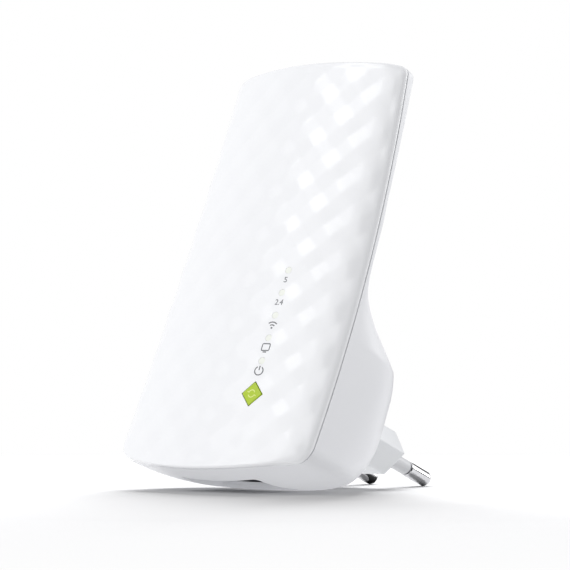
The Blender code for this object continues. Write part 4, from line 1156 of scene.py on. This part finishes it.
# Finish of each slot of the pieces that the frame keeps: light and dark hex, roughness, grain in mm,
# relief in mm, metallic
KEPT_FINISHES = {
    "housing_white_abs": ("#E9EAEE", "#E0E1E6", 0.40, 0.30, 0.003, 0.0),  # moulded white, slightly matt
    "black_nylon": ("#26262A", "#17171A", 0.52, 0.25, 0.006, 0.0),  # glass-filled black, dull and grainy
    "zinc_plated_steel": ("#C9CBD0", "#9EA2A8", 0.28, 0.40, 0.003, 1.0),  # bluish plating
    "tinned_steel": ("#D2D3D4", "#B1B3B5", 0.26, 0.80, 0.002, 1.0),  # bright rolled tin
    "green_solder_mask": ("#1F7A45", "#155C33", 0.30, 0.90, 0.006, 0.0),  # glossy lacquer over copper
    "epoxy_black": ("#2E2F31", "#202123", 0.58, 0.12, 0.004, 0.0),  # sandy moulded epoxy
    "led_lens": ("#F2F0CE", "#E5E1B2", 0.30, 0.30, 0.002, 0.0),  # phosphor-yellow silicone
    "ferrite": ("#4A4A4D", "#38383B", 0.70, 0.20, 0.010, 0.0),  # sintered, chalky dark grey
    "polyester_tape": ("#E3C04A", "#D3AC33", 0.30, 2.00, 0.010, 0.0),  # shiny yellow film
    "capacitor_sleeve": ("#2B2F45", "#20233A", 0.33, 0.60, 0.003, 0.0),  # shrunk dark PVC
    "resistor_lacquer": ("#7FB1C4", "#6A9DB2", 0.38, 0.40, 0.004, 0.0),  # dipped blue lacquer
    "tinned_copper": ("#D9D2C6", "#BFB4A4", 0.30, 0.50, 0.003, 1.0),  # stamped and tinned
    "red_pvc": ("#C52A22", "#A81F19", 0.45, 0.30, 0.003, 0.0),  # soft insulation
    "black_pvc": ("#28282A", "#1B1B1D", 0.45, 0.30, 0.003, 0.0),  # soft insulation
    "grey_fep": ("#A1A3A6", "#8E9093", 0.38, 0.30, 0.002, 0.0),  # slippery coaxial jacket
}
KEPT_FLOW = 4.0 * MM
PLASTIC_IOR = 1.53
METAL_IOR = 1.5


class InnerParts(bpy.types.Operator):
    """Give each piece that the frame keeps its own finish"""

    bl_idname = "extender.inner_parts"
    bl_label = "Inner Parts"

    def execute(self, context):
        finishes = {}
        for slot, (light, dark, roughness, grain, relief, metallic) in KEPT_FINISHES.items():
            ior = METAL_IOR if metallic else PLASTIC_IOR
            finishes[slot] = moulded(slot + "_finish", linear(light), linear(dark), roughness, grain * MM,
                                     relief * MM, ior, metallic, KEPT_FLOW)
        for node in frame["nodes"].values():
            for holder in node.material_slots:
                if holder.material.name in finishes:
                    holder.material = finishes[holder.material.name]
        return {"FINISHED"}


# Stage

FLOOR_SIZE = 6.0
CLEAR_FLOOR = (0.16, 0.34)
RIM_LAMP = Vector((1.12, 2.00, 1.00))
RIM_LAMP_SIZE = 1.5
KEY_LAMP = Vector((-0.80, -1.19, 2.05))
KEY_LAMP_SIZE = 1.0
FILL_LAMP = Vector((-0.35, -2.21, 1.15))
FILL_LAMP_SIZE = 2.8
SHADE_LAMP = Vector((-1.05, 1.10, 1.19))
SHADE_LAMP_SIZE = 1.2
AIM = Vector((0.0, 0.0, 0.05))
# Black cards, each as a corner and two edges; the streak cards are seen by mirrored rays alone
FLAG = ((0.42, -0.95, 0.0), (0.62, 1.20, 0.0), (0.0, 0.0, 0.72))
STREAK_CARDS = {
    "streak_card_middle": ((0.147, 0.122, 0.0), (-0.058, 0.056, 0.0), (0.0, 0.0, 0.024)),
    "streak_card_upper": ((0.0006, 0.1336, 0.0), (-0.062, -0.029, 0.0), (0.0, 0.0, 0.045)),
    "streak_card_lower": ((0.0060, 0.0360, 0.0003), (-0.045, 0.0, 0.0), (0.0, 0.045, 0.0)),
}


def lamp(name, place, size, level):
    """A softbox aimed at the device, which lights a white card facing it to a share of white."""
    bpy.ops.object.select_all(action="DESELECT")
    aim = AIM - place
    turn = aim.to_track_quat("-Z", "Y").to_euler()
    bpy.ops.object.light_add(type="AREA", location=place, rotation=turn)
    made = bpy.context.active_object
    made.name = name
    made.data.shape = "SQUARE"
    made.data.size = size
    made.data.energy = level * (math.pi * aim.length) ** 2
    return made


def black_card(name, velvet, corner, across, up):
    """A black card that the camera doesn't see."""
    corner = Vector(corner)
    across = Vector(across)
    up = Vector(up)
    card = laid_grid(name, [[corner, corner + across], [corner + up, corner + across + up]])
    card.data.materials.append(velvet)
    card.visible_camera = False
    return card


def seen_rays(tree):
    """A socket that is 1 for camera, mirrored and refracted rays."""
    rays = add(tree, "ShaderNodeLightPath").outputs
    straight = {0: rays["Is Camera Ray"], 1: rays["Is Glossy Ray"]}
    both = add(tree, "ShaderNodeMath", straight, operation="MAXIMUM")
    every = {0: both.outputs["Value"], 1: rays["Is Transmission Ray"]}
    return add(tree, "ShaderNodeMath", every, operation="MAXIMUM").outputs["Value"]


class Studio(bpy.types.Operator):
    """Set up the floor, the softboxes, the white surround and the camera"""

    bl_idname = "extender.studio"
    bl_label = "Studio"

    def execute(self, context):
        scene = context.scene
        stage = scene.extender_stage
        floor = begin("studio_floor", bpy.ops.mesh.primitive_plane_add, size=FLOOR_SIZE)
        floor.data.materials.append(self.floor_paper(stage.table))
        lamp("rim_softbox", RIM_LAMP, RIM_LAMP_SIZE, stage.rim)
        lamp("key_softbox", KEY_LAMP, KEY_LAMP_SIZE, stage.key)
        lamp("fill_softbox", FILL_LAMP, FILL_LAMP_SIZE, stage.fill)
        shade = lamp("shade_softbox", SHADE_LAMP, SHADE_LAMP_SIZE, stage.shade)
        shade.light_linking.receiver_collection = bpy.data.collections.new("table_alone")
        shade.light_linking.receiver_collection.objects.link(floor)
        # Black velvet, which keeps light off the right side and draws dark lines on the metal
        velvet = moulded("black_velvet", linear("#141415"), linear("#0C0C0D"),
                         roughness=0.9, grain=2.0 * MM, relief=0.3 * MM)
        black_card("black_flag", velvet, *FLAG)
        for name, card in STREAK_CARDS.items():
            streak = black_card(name, velvet, *card)
            streak.visible_diffuse = False
            streak.visible_shadow = False
        self.surround(scene, stage.sky)
        bpy.ops.object.select_all(action="DESELECT")
        bpy.ops.object.camera_add(location=stage.camera, rotation=stage.aim)
        camera = bpy.context.active_object
        camera.name = "photo_camera"
        camera.data.lens = stage.lens
        scene.camera = camera
        scene.view_settings.view_transform = "Standard"
        return {"FINISHED"}

    def floor_paper(self, glow):
        """White table lit from below: it keeps the shadow near the device, and is plain white further out."""
        made, tree, shader = blank("white_studio_paper")
        tree.nodes.remove(shader)
        place = add(tree, "ShaderNodeTexCoord").outputs["Object"]
        away = add(tree, "ShaderNodeVectorMath", {0: place}, operation="LENGTH").outputs["Value"]
        near, far = CLEAR_FLOOR
        clear = add(tree, "ShaderNodeMapRange", {"Value": away, "From Min": near, "From Max": far})
        plain = {0: clear.outputs["Result"], 1: seen_rays(tree)}
        seen = add(tree, "ShaderNodeMath", plain, operation="MULTIPLY")
        paper = add(tree, "ShaderNodeBsdfDiffuse", {"Color": linear("#B5B5B6")})
        white = add(tree, "ShaderNodeEmission")
        mix = add(tree, "ShaderNodeMixShader", {0: seen.outputs["Value"], 1: paper.outputs["BSDF"],
                                                2: white.outputs["Emission"]})
        spread = add(tree, "ShaderNodeLightPath").outputs["Is Diffuse Ray"]
        lit = add(tree, "ShaderNodeEmission", {"Strength": glow})
        both = add(tree, "ShaderNodeMixShader", {0: spread, 1: mix.outputs["Shader"],
                                                 2: lit.outputs["Emission"]})
        tree.links.new(both.outputs["Shader"], tree.nodes["Material Output"].inputs["Surface"])
        made.cycles.emission_sampling = "NONE"
        return made

    def surround(self, scene, level):
        """Even grey light, which the camera and mirrors see as white."""
        scene.world = bpy.data.worlds.new("studio_surround")
        scene.world.use_nodes = True
        tree = scene.world.node_tree
        grey = tree.nodes["Background"]
        grey.inputs["Color"].default_value = (1.0, 1.0, 1.0, 1.0)
        grey.inputs["Strength"].default_value = level
        white = add(tree, "ShaderNodeBackground", {"Color": (1.0, 1.0, 1.0, 1.0), "Strength": 1.0})
        mix = add(tree, "ShaderNodeMixShader", {0: seen_rays(tree), 1: grey.outputs["Background"],
                                                2: white.outputs["Background"]})
        tree.links.new(mix.outputs["Shader"], tree.nodes["World Output"].inputs["Surface"])


# Add-on

class EXTENDER_PT_pieces(bpy.types.Panel):
    """Lists the operators that build the device"""

    bl_label = "Wifi Range Extender"
    bl_space_type = "VIEW_3D"
    bl_region_type = "UI"
    bl_category = "Extender"

    def draw(self, context):
        for operator in OPERATORS:
            self.layout.operator(operator.bl_idname)


SETTINGS = {
    "extender_casing": CasingSettings,
    "extender_quilt": QuiltSettings,
    "extender_controls": ControlSettings,
    "extender_plug": PlugSettings,
    "extender_finish": FinishSettings,
    "extender_stage": StageSettings,
}
OPERATORS = (FrontCover, RearHousing, MainsPlug, PairButton, FacePrint, StatusLights, InnerParts, Studio)


def register():
    for group in SETTINGS.values():
        bpy.utils.register_class(group)
    for name, group in SETTINGS.items():
        setattr(bpy.types.Scene, name, PointerProperty(type=group))
    for operator in OPERATORS:
        bpy.utils.register_class(operator)
    bpy.utils.register_class(EXTENDER_PT_pieces)


def unregister():
    bpy.utils.unregister_class(EXTENDER_PT_pieces)
    for operator in reversed(OPERATORS):
        bpy.utils.unregister_class(operator)
    for name, group in reversed(SETTINGS.items()):
        delattr(bpy.types.Scene, name)
        bpy.utils.unregister_class(group)


def main():
    register()
    bpy.ops.extender.front_cover()
    bpy.ops.extender.rear_housing()
    bpy.ops.extender.mains_plug()
    bpy.ops.extender.pair_button()
    bpy.ops.extender.face_print()
    bpy.ops.extender.status_lights()
    bpy.ops.extender.inner_parts()
    bpy.ops.extender.studio()


if __name__ == "__main__":
    main()
